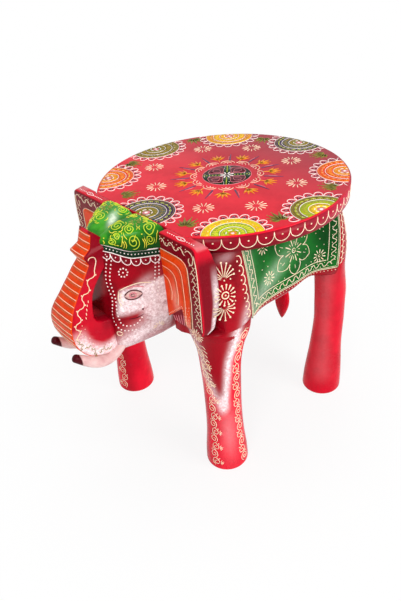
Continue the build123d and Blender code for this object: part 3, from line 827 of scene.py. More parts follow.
def cap_wall(q, h):
    """Chart of the cap's steep side: q mm round the brow from the middle, and a height h between
    its foot and 13 mm up, from the superellipse solved for the share."""
    q, h = both(q, h)
    dx, dy = np.moveaxis(sample(q, BROW_RUN, BROW) - CAP_MIDDLE, -1, 0)
    return cap(np.arctan2(dy, dx), (1 - np.clip(h / 16, 0.01, 0.99) ** (1 / CAP_ROUND)) ** (1 / CAP_POWER))


def cap_mesh():
    """The cap from its edge to its middle, closed by a ring drawn in below."""
    share = np.concatenate([1 - np.linspace(0, 1, 26) ** 2.2 * 0.2, np.linspace(0.78, 0.03, 26)])
    rows = cap(np.linspace(0, TAU, 240, endpoint=False), share[:, None])
    middle = np.array([*CAP_MIDDLE, 290.0])
    return skin(np.concatenate([[middle + (rows[0] - middle) * (0.9, 0.9, 0.8)], rows]))


# ---------------------------------------------------------------- trunk
TRUNK = np.array([
    # front y, front z, back y, back z, half width
    (-181.0, 312.0, -170.5, 301.0, 11.4), (-183.4, 304.0, -168.5, 299.0, 12.1),
    (-186.0, 296.2, -166.5, 296.5, 12.6), (-187.2, 295.2, -166.2, 295.8, 12.8),
    (-195.0, 290.8, -166.0, 293.5, 14.1), (-195.3, 289.0, -166.0, 292.6, 14.2),
    (-192.6, 283.6, -166.0, 290.0, 13.2), (-190.8, 279.6, -167.0, 286.0, 12.7),
    (-192.4, 277.4, -169.0, 281.0, 13.2), (-198.0, 271.0, -174.0, 274.0, 14.4),
    (-204.0, 263.0, -182.0, 267.0, 15.4), (-210.6, 255.2, -191.0, 258.0, 16.3),
    (-216.8, 247.2, -196.5, 250.0, 17.4), (-222.6, 239.6, -199.6, 243.0, 19.4),
    (-227.0, 231.6, -202.0, 234.0, 21.6), (-229.4, 223.6, -202.6, 227.0, 22.3),
    (-230.0, 215.4, -200.0, 221.5, 22.5), (-229.0, 206.8, -194.0, 218.0, 22.5),
    (-226.2, 198.4, -186.0, 216.6, 22.5), (-221.6, 190.6, -178.0, 214.0, 22.5),
    (-214.6, 183.4, -170.0, 210.0, 22.4), (-205.6, 178.2, -164.0, 204.0, 22.0),
    (-194.0, 174.6, -158.0, 198.0, 21.4), (-182.0, 172.6, -152.0, 192.0, 20.6),
    (-170.0, 171.6, -146.0, 188.0, 19.6)])
TRUNK_RUN = along(TRUNK[:, :2])


def trunk(run, e, d=0.0):
    """Point of the trunk: run mm down the front, e across (-1 to 1) and a share d of the way
    through to its back."""
    run, e, d = both(run, e, d)
    front_y, front_z, back_y, back_z, wide = np.moveaxis(sample(run, TRUNK_RUN, TRUNK), -1, 0)
    y = front_y + (back_y - front_y) * d - 0.9 * (1 - e ** 2) * (1 - d)
    return np.stack([wide * e, y, front_z + (back_z - front_z) * d], -1)


def trunk_wide(run):
    """Half width of the trunk."""
    return np.interp(run, TRUNK_RUN, TRUNK[:, 4])


def trunk_front(x, run):
    """Chart of the trunk's front by x and the run down it."""
    return trunk(run, x / trunk_wide(run))


def trunk_side(side):
    """Chart of a side of the trunk by mm back from its front edge and the run down it."""
    thick = np.hypot(*(TRUNK[:, 2:4] - TRUNK[:, :2]).T)
    return lambda d, run: trunk(run, side, d / np.interp(run, TRUNK_RUN, thick))


def trunk_mesh():
    """The trunk as rings: front, side, back and side, each corner rounded by a quarter ellipse."""
    c, s = (turn(np.linspace(0, np.pi / 2, 5)[1:]) for turn in (np.cos, np.sin))
    deep = np.linspace(0.08, 0.94, 12)
    e = np.concatenate([np.linspace(-0.9, 0.9, 13), 0.9 + 0.1 * s, np.ones(11), 0.88 + 0.12 * c,
                        np.linspace(0.8, -0.8, 8), -0.88 - 0.12 * s, -np.ones(11), -0.9 - 0.1 * c])
    d = np.concatenate([np.zeros(13), 0.08 * (1 - c), deep[1:], 0.94 + 0.06 * s,
                        np.ones(8), 0.94 + 0.06 * c, deep[-2::-1], 0.08 * (1 - s)])
    run = np.unique(np.concatenate([TRUNK_RUN, np.linspace(0, TRUNK_RUN[-1], 110)]))
    return skin(trunk(run[:, None], e, d))


# ---------------------------------------------------------------- ears
def rounded(corners, radii, count):
    """Closed outline through straight runs, each corner cut by a quadratic curve, resampled evenly."""
    corners, radii = np.asarray(corners, float), np.asarray(radii, float)[:, None]
    start, end = (corners + unit(np.roll(corners, k, 0) - corners) * radii for k in (1, -1))
    t = np.linspace(0, 1, 9)[:, None]
    bends = (1 - t) ** 2 * start[:, None] + 2 * t * (1 - t) * corners[:, None] + t ** 2 * end[:, None]
    line = np.concatenate([bends.reshape(-1, 2), bends[0, :1]])
    run = along(line)
    return sample(np.linspace(0, run[-1], count, endpoint=False), run, line)


def ear_panel(outer):
    """Corners of the dished panel of an ear, from its inner top corner round to its foot."""
    return [(48, 289), (outer - 20, 288), (outer - 14, 279), (outer - 13, 238), (outer - 15, 208), (48, 206)]


def ear_front(outer, side):
    """Chart of an ear's front by x and z: a flat border round a dish 4 mm deep."""
    corners = ear_panel(outer)

    def chart(x, z):
        x, z = both(x, z)
        inside = np.min([((bx - ax) * (z - az) - (bz - az) * (x - ax)) / np.hypot(bx - ax, bz - az)
                         for (ax, az), (bx, bz) in zip(corners[:-1], corners[1:])], 0)
        return np.stack([side * x, EAR_Y + 4.0 * ease(inside, 0, 2.5), z], -1)
    return chart


def ear_narrowing(z):
    """The share by which an ear's side narrows towards its tip."""
    return 0.42 * ease(-z, -246, -206) + 0.3 * ease(-z, -211, -203)


def ear_mesh(outer, side):
    """Slab from rings: the dished front, a rounded edge, the side that leans out to the back and
    runs to a point at the tip, and the flat back, cut down under the seat board."""
    outline = rounded([(50, 305), (outer - 3, 305), (outer - 1, 262), (outer - 0.6, 212), (outer - 4, 202.5),
                       (outer - 12, 211), (outer - 20, 203.5), (62, 202), (50, 212)],
                      [0.5, 6, 20, 5, 2, 3, 4, 8, 4], 240)
    middle = np.array([76.0, 258.0])
    share = np.concatenate([np.linspace(0.02, 0.965, 60), [0.982, 0.993, 1.0]])
    ring = middle + (outline - middle) * share[:, None, None]
    front = ear_front(outer, 1)(ring[..., 0], ring[..., 1])
    front[-3:, :, 1] += np.array([0.25, 0.9, 2.0])[:, None]
    depth = np.array([3.5, 6, 8.5, 10.6, 11.0, 13, 15, 17, 19, 20.4, 21.0])[:, None]
    x, z = outline.T
    out = np.clip((x - (outer - 18)) / 10, 0, 1)
    back = 2 + (depth - 2) * (1 - ear_narrowing(z) * out)
    wall = np.stack(both(x + back / 21 * 4 * out, EAR_Y + back, z), -1)
    plate = middle + (wall[-1][:, [0, 2]] - middle) * np.array([0.6, 0.1])[:, None, None]
    rows = np.concatenate([front, wall, np.stack(both(plate[..., 0], NECK_Y, plate[..., 1]), -1)])
    x, y, z = np.moveaxis(rows, -1, 0)
    under_seat = (y > -SEAT_FRONT - 0.2) & (np.hypot(x, y) < SEAT_R + 0.3)
    rows[..., 2] = np.minimum(z, np.where(under_seat, SEAT_UNDER - 0.2, SEAT_TOP - 24 * ease(y, -118, -109)))
    return skin(rows * (side, 1, 1))


# ---------------------------------------------------------------- tusks
TUSK = np.array([
    # x, y, z and radius from the root in the jaw to the blunt tip
    (20.0, -166.0, 186.0, 3.5), (22.0, -176.0, 179.0, 4.2), (23.0, -186.0, 173.5, 5.0),
    (23.2, -196.0, 171.0, 5.9), (23.0, -206.0, 172.3, 6.4), (22.5, -215.0, 176.6, 6.2),
    (22.0, -224.5, 184.0, 5.5), (21.5, -233.6, 192.2, 4.4)])


def tusk_mesh(side):
    """Tube about a spline through the table: the ring at each station stands square to the run,
    and four rings round off the tip."""
    run = along(TUSK[:, :3])
    at = np.linspace(0, run[-1], 60)
    line = through(run, TUSK, at)
    way = unit(np.gradient(line[:, :3], at, axis=0))
    bend = np.radians([25, 48, 68, 84])
    middle = np.concatenate([line[:, :3], line[-1, :3] + way[-1] * 2.4 * np.sin(bend)[:, None]])
    radius = np.concatenate([line[:, 3], line[-1, 3] * np.cos(bend)])
    way = np.concatenate([way, np.repeat(way[-1:], 4, 0)])
    out = unit(np.cross(way, (0, 0, 1)))
    a = np.linspace(0, TAU, 40, endpoint=False)[:, None]
    ring = np.cos(a) * out[:, None] + np.sin(a) * np.cross(out, way)[:, None]
    return skin((middle[:, None] + ring * radius[:, None, None]) * (side, 1, 1))


# ---------------------------------------------------------------- carved pieces
def leg_round(x, y, z):
    """Mm round a front leg from its outer side, about its leaning axis."""
    lean = ease(z, 150, 190)
    return LEG_ROUND * np.arctan2(y + 104.5 - 11.5 * lean, np.abs(x) - 96 + 10.5 * lean)


def leg_silver_and_highlight(x, y, z):
    """Silver brushed in a V down the outer front of a front leg, solid where its arms meet; its rear arm
    is partly painted highlight, and a faint painted highlight runs down the middle of the lower leg.
    """
    w, rise = leg_round(x, y, z), z - 98
    inner = 1.15 * hump(w, -14.5 + 0.12 * rise, 4.2) * (1 - 0.35 * ease(z, 190, 206))
    outer = 0.62 * hump(w, -18 - np.minimum(0.43 * rise, 24), 6.0) * (1 - 0.5 * ease(z, 176, 200))
    foot = 1.6 * hump(w, -16.5, 6.2) * hump(z, 106, 12)
    # painted highlight: a faint pale band down the middle of the lower leg
    wear_and_sheen = 0.2 * hump(w, -12, 10) * hump(z, 62, 40)
    return (y < -40) * np.max([inner * ease(z, 92, 108), outer * ease(z, 92, 108), foot, wear_and_sheen], 0)


def leg_dark_and_shade(x, y, z):
    """Dark between the arms of the V and up to the shoulder, and painted shade a little down the
    leg's edges.  On a rear leg it is painted shade, darkest towards its top under the seat.
    """
    w, rise = leg_round(x, y, z), np.maximum(z - 98, 0)
    within = ease(w, -22 - 0.43 * rise, -15 - 0.43 * rise)
    within = within * (1 - ease(w, -16 + 0.12 * rise, -10 + 0.12 * rise))
    edge = 0.5 * hump(w, 24, 10) + 0.5 * hump(w, -50, 8)
    front = np.max([within * ease(z, 104, 120), ease(z, 184, 199), edge], 0)
    return np.where(y < -40, front, 0.35 * ease(z, 165, 202) + 0.35 * hump(w, 30, 12))


def rear_leg_highlight(x, y, z):
    """Painted highlight: a pale sheen along the front of a rear leg."""
    w = LEG_ROUND * np.arctan2(y - 78, np.abs(x) - 96)
    return 0.08 * hump(w, -24, 13) * ease(z, 8, 40) * (y > 0)


def to_line(x, y, start, end):
    """Distance from a point to a straight stroke."""
    (ax, ay), (bx, by) = start, end
    dx, dy = bx - ax, by - ay
    t = np.clip(((x - ax) * dx + (y - ay) * dy) / (dx * dx + dy * dy), 0, 1)
    return np.hypot(x - ax - t * dx, y - ay - t * dy)


def face_silver(x, y, z):
    """Silver dry-brushed round the eye, over the rear of the cheek and along the jaw, with the
    corner of the mouth and the garland's fold left dark."""
    far = np.abs(x)
    socket = ease(far, 28.0, 31.5) * (1 - ease(z - 0.3 * (far - 30), 246.5, 251.5)) * ease(z, 218, 227)
    behind = ease(far, 39.5, 45.5) * (1 - ease(z + 4 * (far - 44), 238, 256)) * ease(z, 194, 206)
    behind *= 1 - 0.55 * ease(far, 47, 49.5) * ease(z, 212, 236)
    jaw = hump(to_line(far, z, (22, 174), (47, 203)), 0, 7.5)
    streaks = 0.4 * hump(far - 0.3 * (z - 250), 41, 3.5) * hump(z, 254, 7)
    return 0.98 * np.max([socket, behind, jaw, streaks], 0) * (y < -125)


def trunk_silver(x, y, z):
    """Silver along the trunk's underside and over its root, by the distance from its front line,
    and a haze on its back."""
    line = TRUNK[TRUNK[:, 1] < 232, :2]
    line = through(along(line), line, np.linspace(0, along(line)[-1], 40))
    near = np.hypot(y[:, None] - line[:, 0], z[:, None] - line[:, 1]).min(1)
    root = ease(y, -200, -160)
    under = (1 - ease(near, 8 + 14 * root, 19 + 16 * root)) * (1 - ease(z, 202, 226))
    haze = 0.45 * hump(z, 246, 18) * ease(y, -200, -188) * (np.abs(x) < 11)
    return 1.05 * ease(np.abs(x), 12, 19) * under + haze


def trunk_dark_and_shade(x, y, z):
    """Dark red on the trunk's sides: a little all over and more up to its tip, and painted shade low
    in the loop.
    """
    low = 0.75 * hump(z, 214, 13) * ease(y, -205, -190)
    return np.maximum(low, 0.35 + 0.55 * ease(z, 262, 285)) * (np.abs(x) > 6)


def ear_highlight(x, y, z):
    """Painted highlight: a silver streak down the ear's outer side along its back edge, and a pale
    sheen over the end of the top.
    """
    side = ease(y, -129.5, -128) * ease(np.abs(x), 88, 95)
    share = (y + 129) / (19 * (1 - ear_narrowing(z)))
    streak = ease(share, 0.56, 0.8) * (1 - 0.4 * ease(share, 0.88, 1.0)) * ease(-z, -286, -248)
    return 0.9 * side * streak + 0.2 * hump(z, 304, 2.2) * ease(np.abs(x), 88, 98) * (y > -129)


def ear_dusk(x, y, z):
    """Maroon border round the panel, and dark red on the ear's outer side below its shoulder."""
    return np.maximum(1 - ease(y, -130.7, -130.2), ease(-z, -297, -284) * ease(y, -129.8, -128.6))


def torso_silver_and_highlight(x, y, z):
    """Silver haze, partly painted highlight, low on the shoulder, beside the cloth, and a little under the
    seat.
    """
    low = 0.6 * hump(y, -86 + 0.25 * (z - 200), 7) * (1 - ease(z, 206, 236)) * (np.abs(x) > 80)
    return low + 0.22 * hump(z, 283, 4) * hump(y, -96, 9)


def cap_highlight(x, y, z):
    """Painted highlight: a pale gleam across the front of the cap's valley."""
    return 1.15 * hump(x + 0.7 * (y + 148), -3, 4.6) * hump(y, -148, 9) * (z > 296)


# the torso darkens towards the seat board: painted shade under the seat
piece("torso_carving", torso_mesh(), DARK_RED, ["torso"],
      {"silver_and_highlight": torso_silver_and_highlight, "dark_paint_and_shade": lambda x, y, z: 0.6 * ease(z, 250, 285)})
piece("head_carving", head_mesh(), DARK_RED, ["head"],
      {"silver_and_highlight": face_silver, "dark_paint_and_shade": lambda x, y, z: 0.5 * ease(z, 262, 284)})
piece("cap", cap_mesh(), GREEN,
      masks={"silver_and_highlight": cap_highlight, "dark_paint_and_shade": lambda x, y, z: 0.9 * (1 - ease(z - 0.25 * np.abs(x), 286, 303))})
piece("trunk_carving", trunk_mesh(), RED, ["trunk"],
      {"silver_and_highlight": trunk_silver, "dark_paint_and_shade": trunk_dark_and_shade})
for word, side in SIDES:
    for end, kind in LEGS:
        piece(f"{end}_leg_{word}", leg_mesh(kind, side), LEG_RED, [f"leg_{end}_{word}"],
              {"silver_and_highlight": leg_silver_and_highlight if end == "front" else rear_leg_highlight, "dark_paint_and_shade": leg_dark_and_shade})
    piece(f"ear_carving_{word}", ear_mesh(EAR_ENDS[word], side), RED, [f"ear_{word}"],
          {"silver_and_highlight": ear_highlight, "dark_paint_and_shade": ear_dusk})
    piece(f"tusk_carving_{word}", tusk_mesh(side), PINK, [f"tusk_{word}"])

for name in ("seat_board", "tail", "seat_dowels", "head_dowels", "trunk_dowel", "tail_dowel",
             "ear_dowels_left", "ear_dowels_right"):
    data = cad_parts[name].data
    data.materials.clear()
    data.materials.append({"seat_board": SEAT_RED, "tail": RED}.get(name, BEECH))


# ---------------------------------------------------------------- seat paint
HEART = np.array([1.7, 6.0])   # middle of the seat's painting
BANDS = ((0.3, 4.2), (4.2, 12.5), (12.5, 21.0), (21.0, 30.2))      # rings of colour in a medallion


def level(side=1):
    """Chart of the seat's level by x and y, mirrored where asked."""
    def chart(x, y):
        x, y = both(x, y)
        return np.stack([side * x, y, np.full(x.shape, SEAT_TOP)], -1)
    return chart


def on_seat(x, y):
    """Whether a place is on the seat, a little in from its edge."""
    return (np.hypot(x, y) < SEAT_R - 1.9) & (y > -SEAT_FRONT + 1.2)


def to_edge(at, angle):
    """How far the seat's edge is from a place, along each angle."""
    dx, dy = np.cos(angle), np.sin(angle)
    dot = at[0] * dx + at[1] * dy
    rim = -dot + np.sqrt(dot ** 2 - at[0] ** 2 - at[1] ** 2 + (SEAT_R - 1.7) ** 2)
    return np.minimum(rim, np.where(dy < -1e-6, (-SEAT_FRONT + 0.8 - at[1]) / np.minimum(dy, -1e-6), 999))


def band(brush, paint, at, near, far):
    """Flat ring of colour, cut off at the seat's edge."""
    a = np.arctan2(at[1], at[0]) + np.linspace(0, TAU, 121)
    a = a[to_edge(at, a) > near + 0.1]
    for part in np.split(a, np.flatnonzero(np.diff(a) > 0.06) + 1):
        if len(part) > 1:
            far_side = np.minimum(far, to_edge(at, part))
            brush.field(paint, at + polar(np.stack([0 * part + near, far_side]), part), 0.14)


def rosette(brush, at, fills, ticks, arcs):
    """Round medallion on the seat: a pale heart, rings of colour with strokes and bows between
    them, and a frill of twenty dark petals."""
    at = np.array(at, float)
    for (near, far), paint in zip(BANDS, fills):
        band(brush, paint, at, near, far)
    brush.lines(WHITE, all_swung([circle(30.4), circle(21.2), circle(12.6)], 0.3, at), width=0.85)
    brush.lines(ticks, all_swung([circle(10.4), circle(16.9), circle(28.6)], 0.3, at), width=0.45)
    brush.lines(WHITE, all_swung([circle(6.4, 1.0, a, a + 0.75) for a in turns(6)], 0.3, at), width=1.6)
    brush.dots(WHITE, at, radius=2.2)
    brush.lines(ticks, all_swung(rays(16, 8.2, 11.2), 0.3, at), width=0.75)
    brush.lines(ticks, all_swung(rays(30, 13.6, 20.2), 0.3, at), width=0.95, start=0.5)
    bow = circle(2.7, 1.0, -1.4, 1.4) + (23.2, 0)
    brush.lines(arcs, [swung(bow, a + 0.3, at) for a in turns(22)], width=0.8)
    brush.dots(WHITE, at + polar(24.2, turns(22) + 0.3), radius=0.5)
    t = np.linspace(-1, 1, 13)
    frill = grid(30.8 + 8.4 * np.sqrt(1 - t ** 2), 4.75 * t * (1 + 0.18 * (1 - t ** 2)))
    for a in 0.3 + turns(20, 0.5):
        brush.line(WHITE, swung(frill, a, at), width=0.95)
        if to_edge(at, a) > 38.5 and on_seat(*swung((40, 0), a, at)):
            brush.field(WINE, leaf(31.2, 36.6, 4.6, a, 0.95) + at, 0.2)
            brush.line(BLUSH, swung([(32.5, -1.6), (35.6, 0), (32.5, 1.6)], a, at), width=0.8)


seat = Brush("seat", level(), keep=on_seat)
rosette(seat, (6.7, -113.0), (ROSE, OLIVE, SLATE, PURPLE), OLIVE_LINE, LEMON)
rosette(seat, (107.0, -86.0), (AMBER, LIME, LIME, YELLOW), YELLOW_LINE, GOLD)
rosette(seat, (138.0, 5.0), (ROSE, YELLOW, LIME, BROWN), OLIVE_LINE, LEMON)
rosette(seat, (98.0, 95.0), (ROSE, AMBER, FLAME, FLAME), GOLD, GOLD)
rosette(seat, (-1.0, 133.0), (ROSE, OLIVE, SLATE, PURPLE), OLIVE_LINE, LEMON)
rosette(seat, (-90.0, 97.0), (ROSE, AMBER, AMBER, AMBER), YELLOW_LINE, OLIVE_LINE)
rosette(seat, (-133.0, 7.0), (ROSE, OLIVE, BROWN, BROWN), OLIVE_LINE, OLIVE_LINE)
rosette(seat, (-103.0, -87.0), (ROSE, AMBER, FLAME, FLAME), GOLD, YELLOW_LINE)

# cream starbursts, and sprays of olive leaves that point inwards
for at in ((-36, 84), (31, 82), (78, 38), (83, -30), (45, -68), (-37, -66), (-85, -32), (-83, 44)):
    seat.lines(CREAM, all_swung(rays(13, 3.6, 11.8), 0.2, at), width=1.5, start=0.35, high=0.5)
for x, y in ((-45, 113), (46, 115), (111, 52), (117, -35), (58, -100), (-45, -98), (-115, -42), (-115, 58)):
    inward = np.arctan2(-y, -x)
    root = (x, y) - polar(9, inward)
    for a, length in ((-1.05, 11), (-0.7, 15), (-0.35, 18.5), (0, 20.5), (0.35, 18.5), (0.7, 15), (1.05, 11)):
        seat.field(BROWN, leaf(2.5, length, 4.3, inward + a, 0.75) + root, 0.16)
        seat.line(SAGE, swung([(2.5, 0), (length - 1.5, 0)], inward + a, root), width=0.9, start=0.5)
        seat.dots(SAGE, swung((length + 0.6, 0), inward + a, root), radius=0.8)

# centre: a dark disc with four petals, a ring of double loops, then sprays and plum spikes
seat.field(DARK_GREEN, HEART + polar(np.array([[0.4], [27.6]]), np.linspace(0, TAU, 97)), 0.12)
for turn in turns(4):
    seat.field(WINE, leaf(5.5, 26.0, 21, turn, 1.5) + HEART, 0.22)
    seat.line(BLUSH, swung(petal(5.5, 26.0, 21, 1.5), turn, HEART), width=0.75)
    seat.line(BLUSH, swung(petal(10, 22.5, 9, 1.4), turn, HEART), width=0.6)
    seat.dots(LEMON, swung([(r, 0) for r in (9, 12.5, 16, 19.5, 23, 26)], turn + TAU / 8, HEART), radius=0.85)
    seat.dots(WHITE, swung([(20.0, 3.2), (20.0, -3.2), (25.2, 2.8), (25.2, -2.8)], turn + TAU / 8, HEART),
              radius=0.7)
seat.lines(WHITE, all_swung(rays(8, 1.6, 8.6), 0.39, HEART), width=2.3, start=0.4)
seat.line(BLUSH, circle(27.8) + HEART, width=0.9)
t = np.linspace(-1.45, 1.45, 15)
for turn in turns(12, 0.5):
    for r, wide in ((9.2, 8.2), (5.8, 4.6)):
        loop = grid(32.2 + r * 0.5 + r * 0.55 * np.cos(t * 1.35), wide * np.sin(t * 1.15))
        seat.line(CREAM, swung(loop, turn, HEART), width=0.65)
    seat.dots(WHITE, swung((34.8, 0), turn, HEART), radius=0.7)
for turn in np.radians(17.5) + turns(11):
    seat.line(GOLD, swung([(41, 0), (50, 0)], turn, HEART), width=1.1)
    for a, far in ((0, 15.0), (0.42, 14), (-0.42, 14), (0.9, 11.5), (-0.9, 11.5)):
        seat.field(AMBER, swung(leaf(0.8, far, 3.1, a, 0.6) + (47.5, 0), turn, HEART), 0.3)
        seat.line(GOLD, swung(swung([(2.5, 0), (far - 2, 0)], a, (47.5, 0)), turn, HEART), width=0.7)
    seat.line(PLUM, swung([(65, 0), (42.0, 0)], turn + TAU / 22, HEART), width=2.6, start=0.3)
    seat.line(BLUSH, swung([(58, 1.6), (47, 2.1)], turn + TAU / 22, HEART), width=0.7)
seat.done()


def seat_rim(s, z):
    """Chart of the seat board's edge by mm round it from +X and height."""
    s, z = both(s, z)
    return np.concatenate([polar(SEAT_R, s / SEAT_R), z[..., None]], -1)


rim = Brush("seat_rim", seat_rim)
first, last = SEAT_R * np.radians([-57.0, 237.0])
rim.field(RIM_RED, grid(np.linspace(first, last, 300), [[288.3], [303.6]]), 0.12)
ends = grid(np.linspace(first, last, 44), 302.6)
rim.lines(CREAM, swags(ends, (0, -11.6)), width=0.95)
rim.dots(CREAM, middles(ends) - (0, 4.6), radius=1.1)
rim.done()


# ---------------------------------------------------------------- saddle cloth and shoulder
CLOTH_FLOWERS = ((-35, 229), (44.5, 222), (-38, 266), (46, 262))
CLOTH_LEVELS = [286, 262, 240, 220]


def cloth_edge(end, z):
    """Station of the cloth's front (-1) or rear (1) edge, which spread apart by 1 in 16."""
    return (-70.0 if end < 0 else 69.5) + end * 5.0 * (z - 200) / 80


def cloth_foot(q, low):
    """Line near the cloth's foot, which rises by a cosine to its middle."""
    return curve(grid(q, low + 4.5 * np.cos(q / 140 * np.pi)))


def cloth_border(inset, low):
    """Lines down the cloth's front edge, along its foot and up its rear, set in from the edge."""
    z = np.array(CLOTH_LEVELS + [200 + low])
    q = np.linspace(cloth_edge(-1, 200) + inset, cloth_edge(1, 200) - inset, 9)
    return [curve(grid(cloth_edge(-1, z) + inset, z)), cloth_foot(q, 199.6 + low),
            curve(grid(cloth_edge(1, z) - inset, z)[::-1])]


def cloth_highlight(x, y, z):
    """Painted highlight: a pale haze over the cloth's lower front corner and along its front edge."""
    return 0.5 * hump(y - 1.2 * (z - 222), -40, 16) * hump(z, 224, 22) + 0.2 * ease(-y, 52, 66)


def cloth_shade(x, y, z):
    """Painted shade: dark green towards the rear of the cloth."""
    return 0.8 * hump(y, 58, 22) * hump(z, 240, 40)


def paint_cloth(cloth):
    """The cloth's ground, its borders, one big flower with six petals, four small ones and dots."""
    z = np.concatenate([[199.5, 201, 203, 205.5], np.linspace(209, 287, 24)])[:, None]
    t = np.linspace(0, 1, 60)
    front, rear = cloth_edge(-1, z), cloth_edge(1, z)
    foot = 199.0 + 4.5 * np.sin(np.pi * t)
    cloth.field(CLOTH_GREEN, grid(front + (rear - front) * t, foot + (z - 199.5) / 87.5 * (287 - foot)), 0.2)
    for inset, low, width in ((0.6, 0.4, 1.0), (2.6, 2.2, 0.7), (15.5, 12.5, 0.95)):
        cloth.lines(CREAM, cloth_border(inset, low), width=width)
    for way in cloth_border(9.0, 7.2):
        cloth.line(CREAM, wavy(way, 2.6, 10.5), width=0.95)
        spots = evenly(way, 4.75)[1:-1]
        push = unit(np.gradient(spots, axis=0))[:, ::-1] * (-1, 1)
        cloth.dots(CREAM, spots + push * np.where(np.arange(len(spots)) % 2, 2.6, -2.6)[:, None], radius=0.7)
    middle = (4.0, 246.0)
    t = np.linspace(-1, 1, 21)
    for a in turns(6, 0.5):
        bow = polar(15 + 14.5 * (1 - np.abs(t)) ** 0.5, a + t * TAU / 12)
        cloth.stamp(CREAM, middle, [bow], width=0.95)
        cloth.stamp(CREAM, middle, [swung([(17, 0), (22, 0)], a)], width=0.7)
    cloth.stamp(CREAM, middle, [circle(2.6)], width=1.1)
    cloth.dots(CREAM, middle, radius=0.9)
    cloth.stamp(CREAM, middle, rays(8, 4.5, 14.0, 0.2), width=1.8, start=0.35)
    cloth.stamp(CREAM, middle, rays(16, 6.5, 10.5, TAU / 32), width=0.9, start=0.5)
    for at in CLOTH_FLOWERS:
        cloth.stamp(CREAM, at, rays(11, 3.0, 8.6, 0.3), width=1.7, start=0.35)
        cloth.stamp(CREAM, at, [circle(1.5)], width=0.9)
    for z in np.arange(219, 284, 8.0):
        for y in np.arange(-44, 54, 9.0) + (z // 8 % 2) * 4.5:
            near_flower = min(np.hypot(y - a, z - b) for a, b in CLOTH_FLOWERS) <= 11
            if np.hypot((y - 4) / 36, (z - 246) / 30) > 1 and not near_flower:
                cloth.dots(CREAM, (y, z), radius=0.75)
    cloth.dots(CREAM, middle + polar(1, turns(8, 0.5)) * (22, 19), radius=0.8)
    # fringes: dots under the cloth, and bows before and behind it
    cloth.dots(CREAM, evenly(cloth_foot(np.linspace(-66, 66, 9), 196.4), 4.4), radius=0.65)
    way = evenly(curve([(-84.5, 280), (-83.5, 262), (-83, 245), (-82, 228), (-80, 208)]), 10.8)
    cloth.lines(CREAM, swags(way, (5.6, -1.0)), width=1.25)
    cloth.dots(CREAM, middles(way) + (-0.6, 0), radius=1.15)
    z = np.array([203] + CLOTH_LEVELS[::-1])
    way = evenly(curve(grid(cloth_edge(1, z) + 2, z)), 7.5)
    cloth.lines(CREAM, swags(way, (3.6, 0.0)), width=1.0)
    cloth.dots(CREAM, middles(way) + (6.0, 0), radius=0.8)


def paint_shoulder(brush):
    """A standing fan, a rayed flower and a hanging fan on the shoulder."""
    for at, middle, spread, near, far in (((-104.0, 263.0), np.pi / 2, 2.5, 2.5, 17.5),
                                          ((-108.5, 235.5), -np.pi / 2, 2.7, 3.0, 16.0)):
        for a in np.linspace(middle - spread / 2, middle + spread / 2, 9):
            reach = far * (1 - 0.22 * abs(a - middle))
            bow = curve([polar(near, a), polar(0.6 * reach, a), polar(reach, a + 0.12 * (a - middle))])
            brush.stamp(CREAM, at, [bow], width=1.3, start=0.4)
            brush.stamp_dots(CREAM, at, bow[-1:], radius=1.25)
    flower = (-105.5, 247.0)
    brush.stamp(CREAM, flower, [circle(3.6)], width=1.5)
    brush.dots(CREAM, flower, radius=1.0)
    brush.stamp(CREAM, flower, rays(14, 5.8, 10.6), width=1.5, start=0.5)
    brush.stamp_dots(CREAM, flower, polar(10.9, turns(14)), radius=1.25)
    brush.stamp_dots(CREAM, flower, [(1, 15.5), (8, 15), (10.5, -9.5)], radius=1.0)


for word, side in SIDES:
    cloth = Brush(f"cloth_{word}", flank(side), side)
    paint_cloth(cloth)
    paint_shoulder(cloth)
    cloth.done({"silver_and_highlight": cloth_highlight, "dark_paint_and_shade": cloth_shade})


# ---------------------------------------------------------------- leg paint
for word, side in SIDES:
    shin = Brush(f"front_leg_{word}", leg(FRONT_LEG, side), side)
    shift = 0 if side > 0 else -13
    front = [(-30.5 + shift, 7), (-30.5 + shift, 60), (-31 + shift, 110), (-35.5 + shift, 150), (-39, 184)]
    vine(shin, curve(front), 3.2, 24, 0.85, fans=-1)
    vine(shin, curve([(6.0, 7), (5.0, 60), (3.5, 110), (3.5, 150), (5.5, 198)]) - (1.5, 0), 3.6, 25, 0.9)
    shin.stamp(CREAM, (-36.0, 194), rays(14, 2.6, 9.5), width=1.5, start=0.4)
    shin.stamp(CREAM, (-36.0, 194), [circle(1.6)], width=0.9)
    for k in range(10):
        sway = 1.2 * np.sin(2.4 * k)
        hair = curve([(-4.0, -0.8 + sway), (0, 0.6), (3.0 + 0.5 * sway, -2.2)], 0.6)
        shin.line(CREAM, hair + (-33 + 0.45 * k, 180 - 5.2 * k), width=0.8, start=0.4)
    shin.done()
    shank = Brush(f"rear_leg_{word}", leg(REAR_LEG, side), side)
    way = curve([(20, 8), (20, 60), (20, 120), (21, 184)])
    shank.line(CREAM, wavy(way, 1.6, 11), width=0.95)
    shank.dots(CREAM, evenly(way, 5.5) + (3.6, 0), radius=0.8)
    shank.done()
    haunch = Brush(f"haunch_{word}", flank(side), side)
    way = curve([(92, 206), (91.5, 240), (86, 284)])
    haunch.dots(CREAM, evenly(way, 5.5), radius=0.85)
    haunch.line(CREAM, wavy(way - (3.6, 0), 1.3, 10), width=0.9)
    haunch.done()


# ---------------------------------------------------------------- ear paint
def scattered(count, left, spread, low, rise):
    """Places that climb by equal steps and stand across by the golden ratio's remainders."""
    k = np.arange(count)
    return grid(left + spread * (k * 0.618 % 1), low + rise * k)


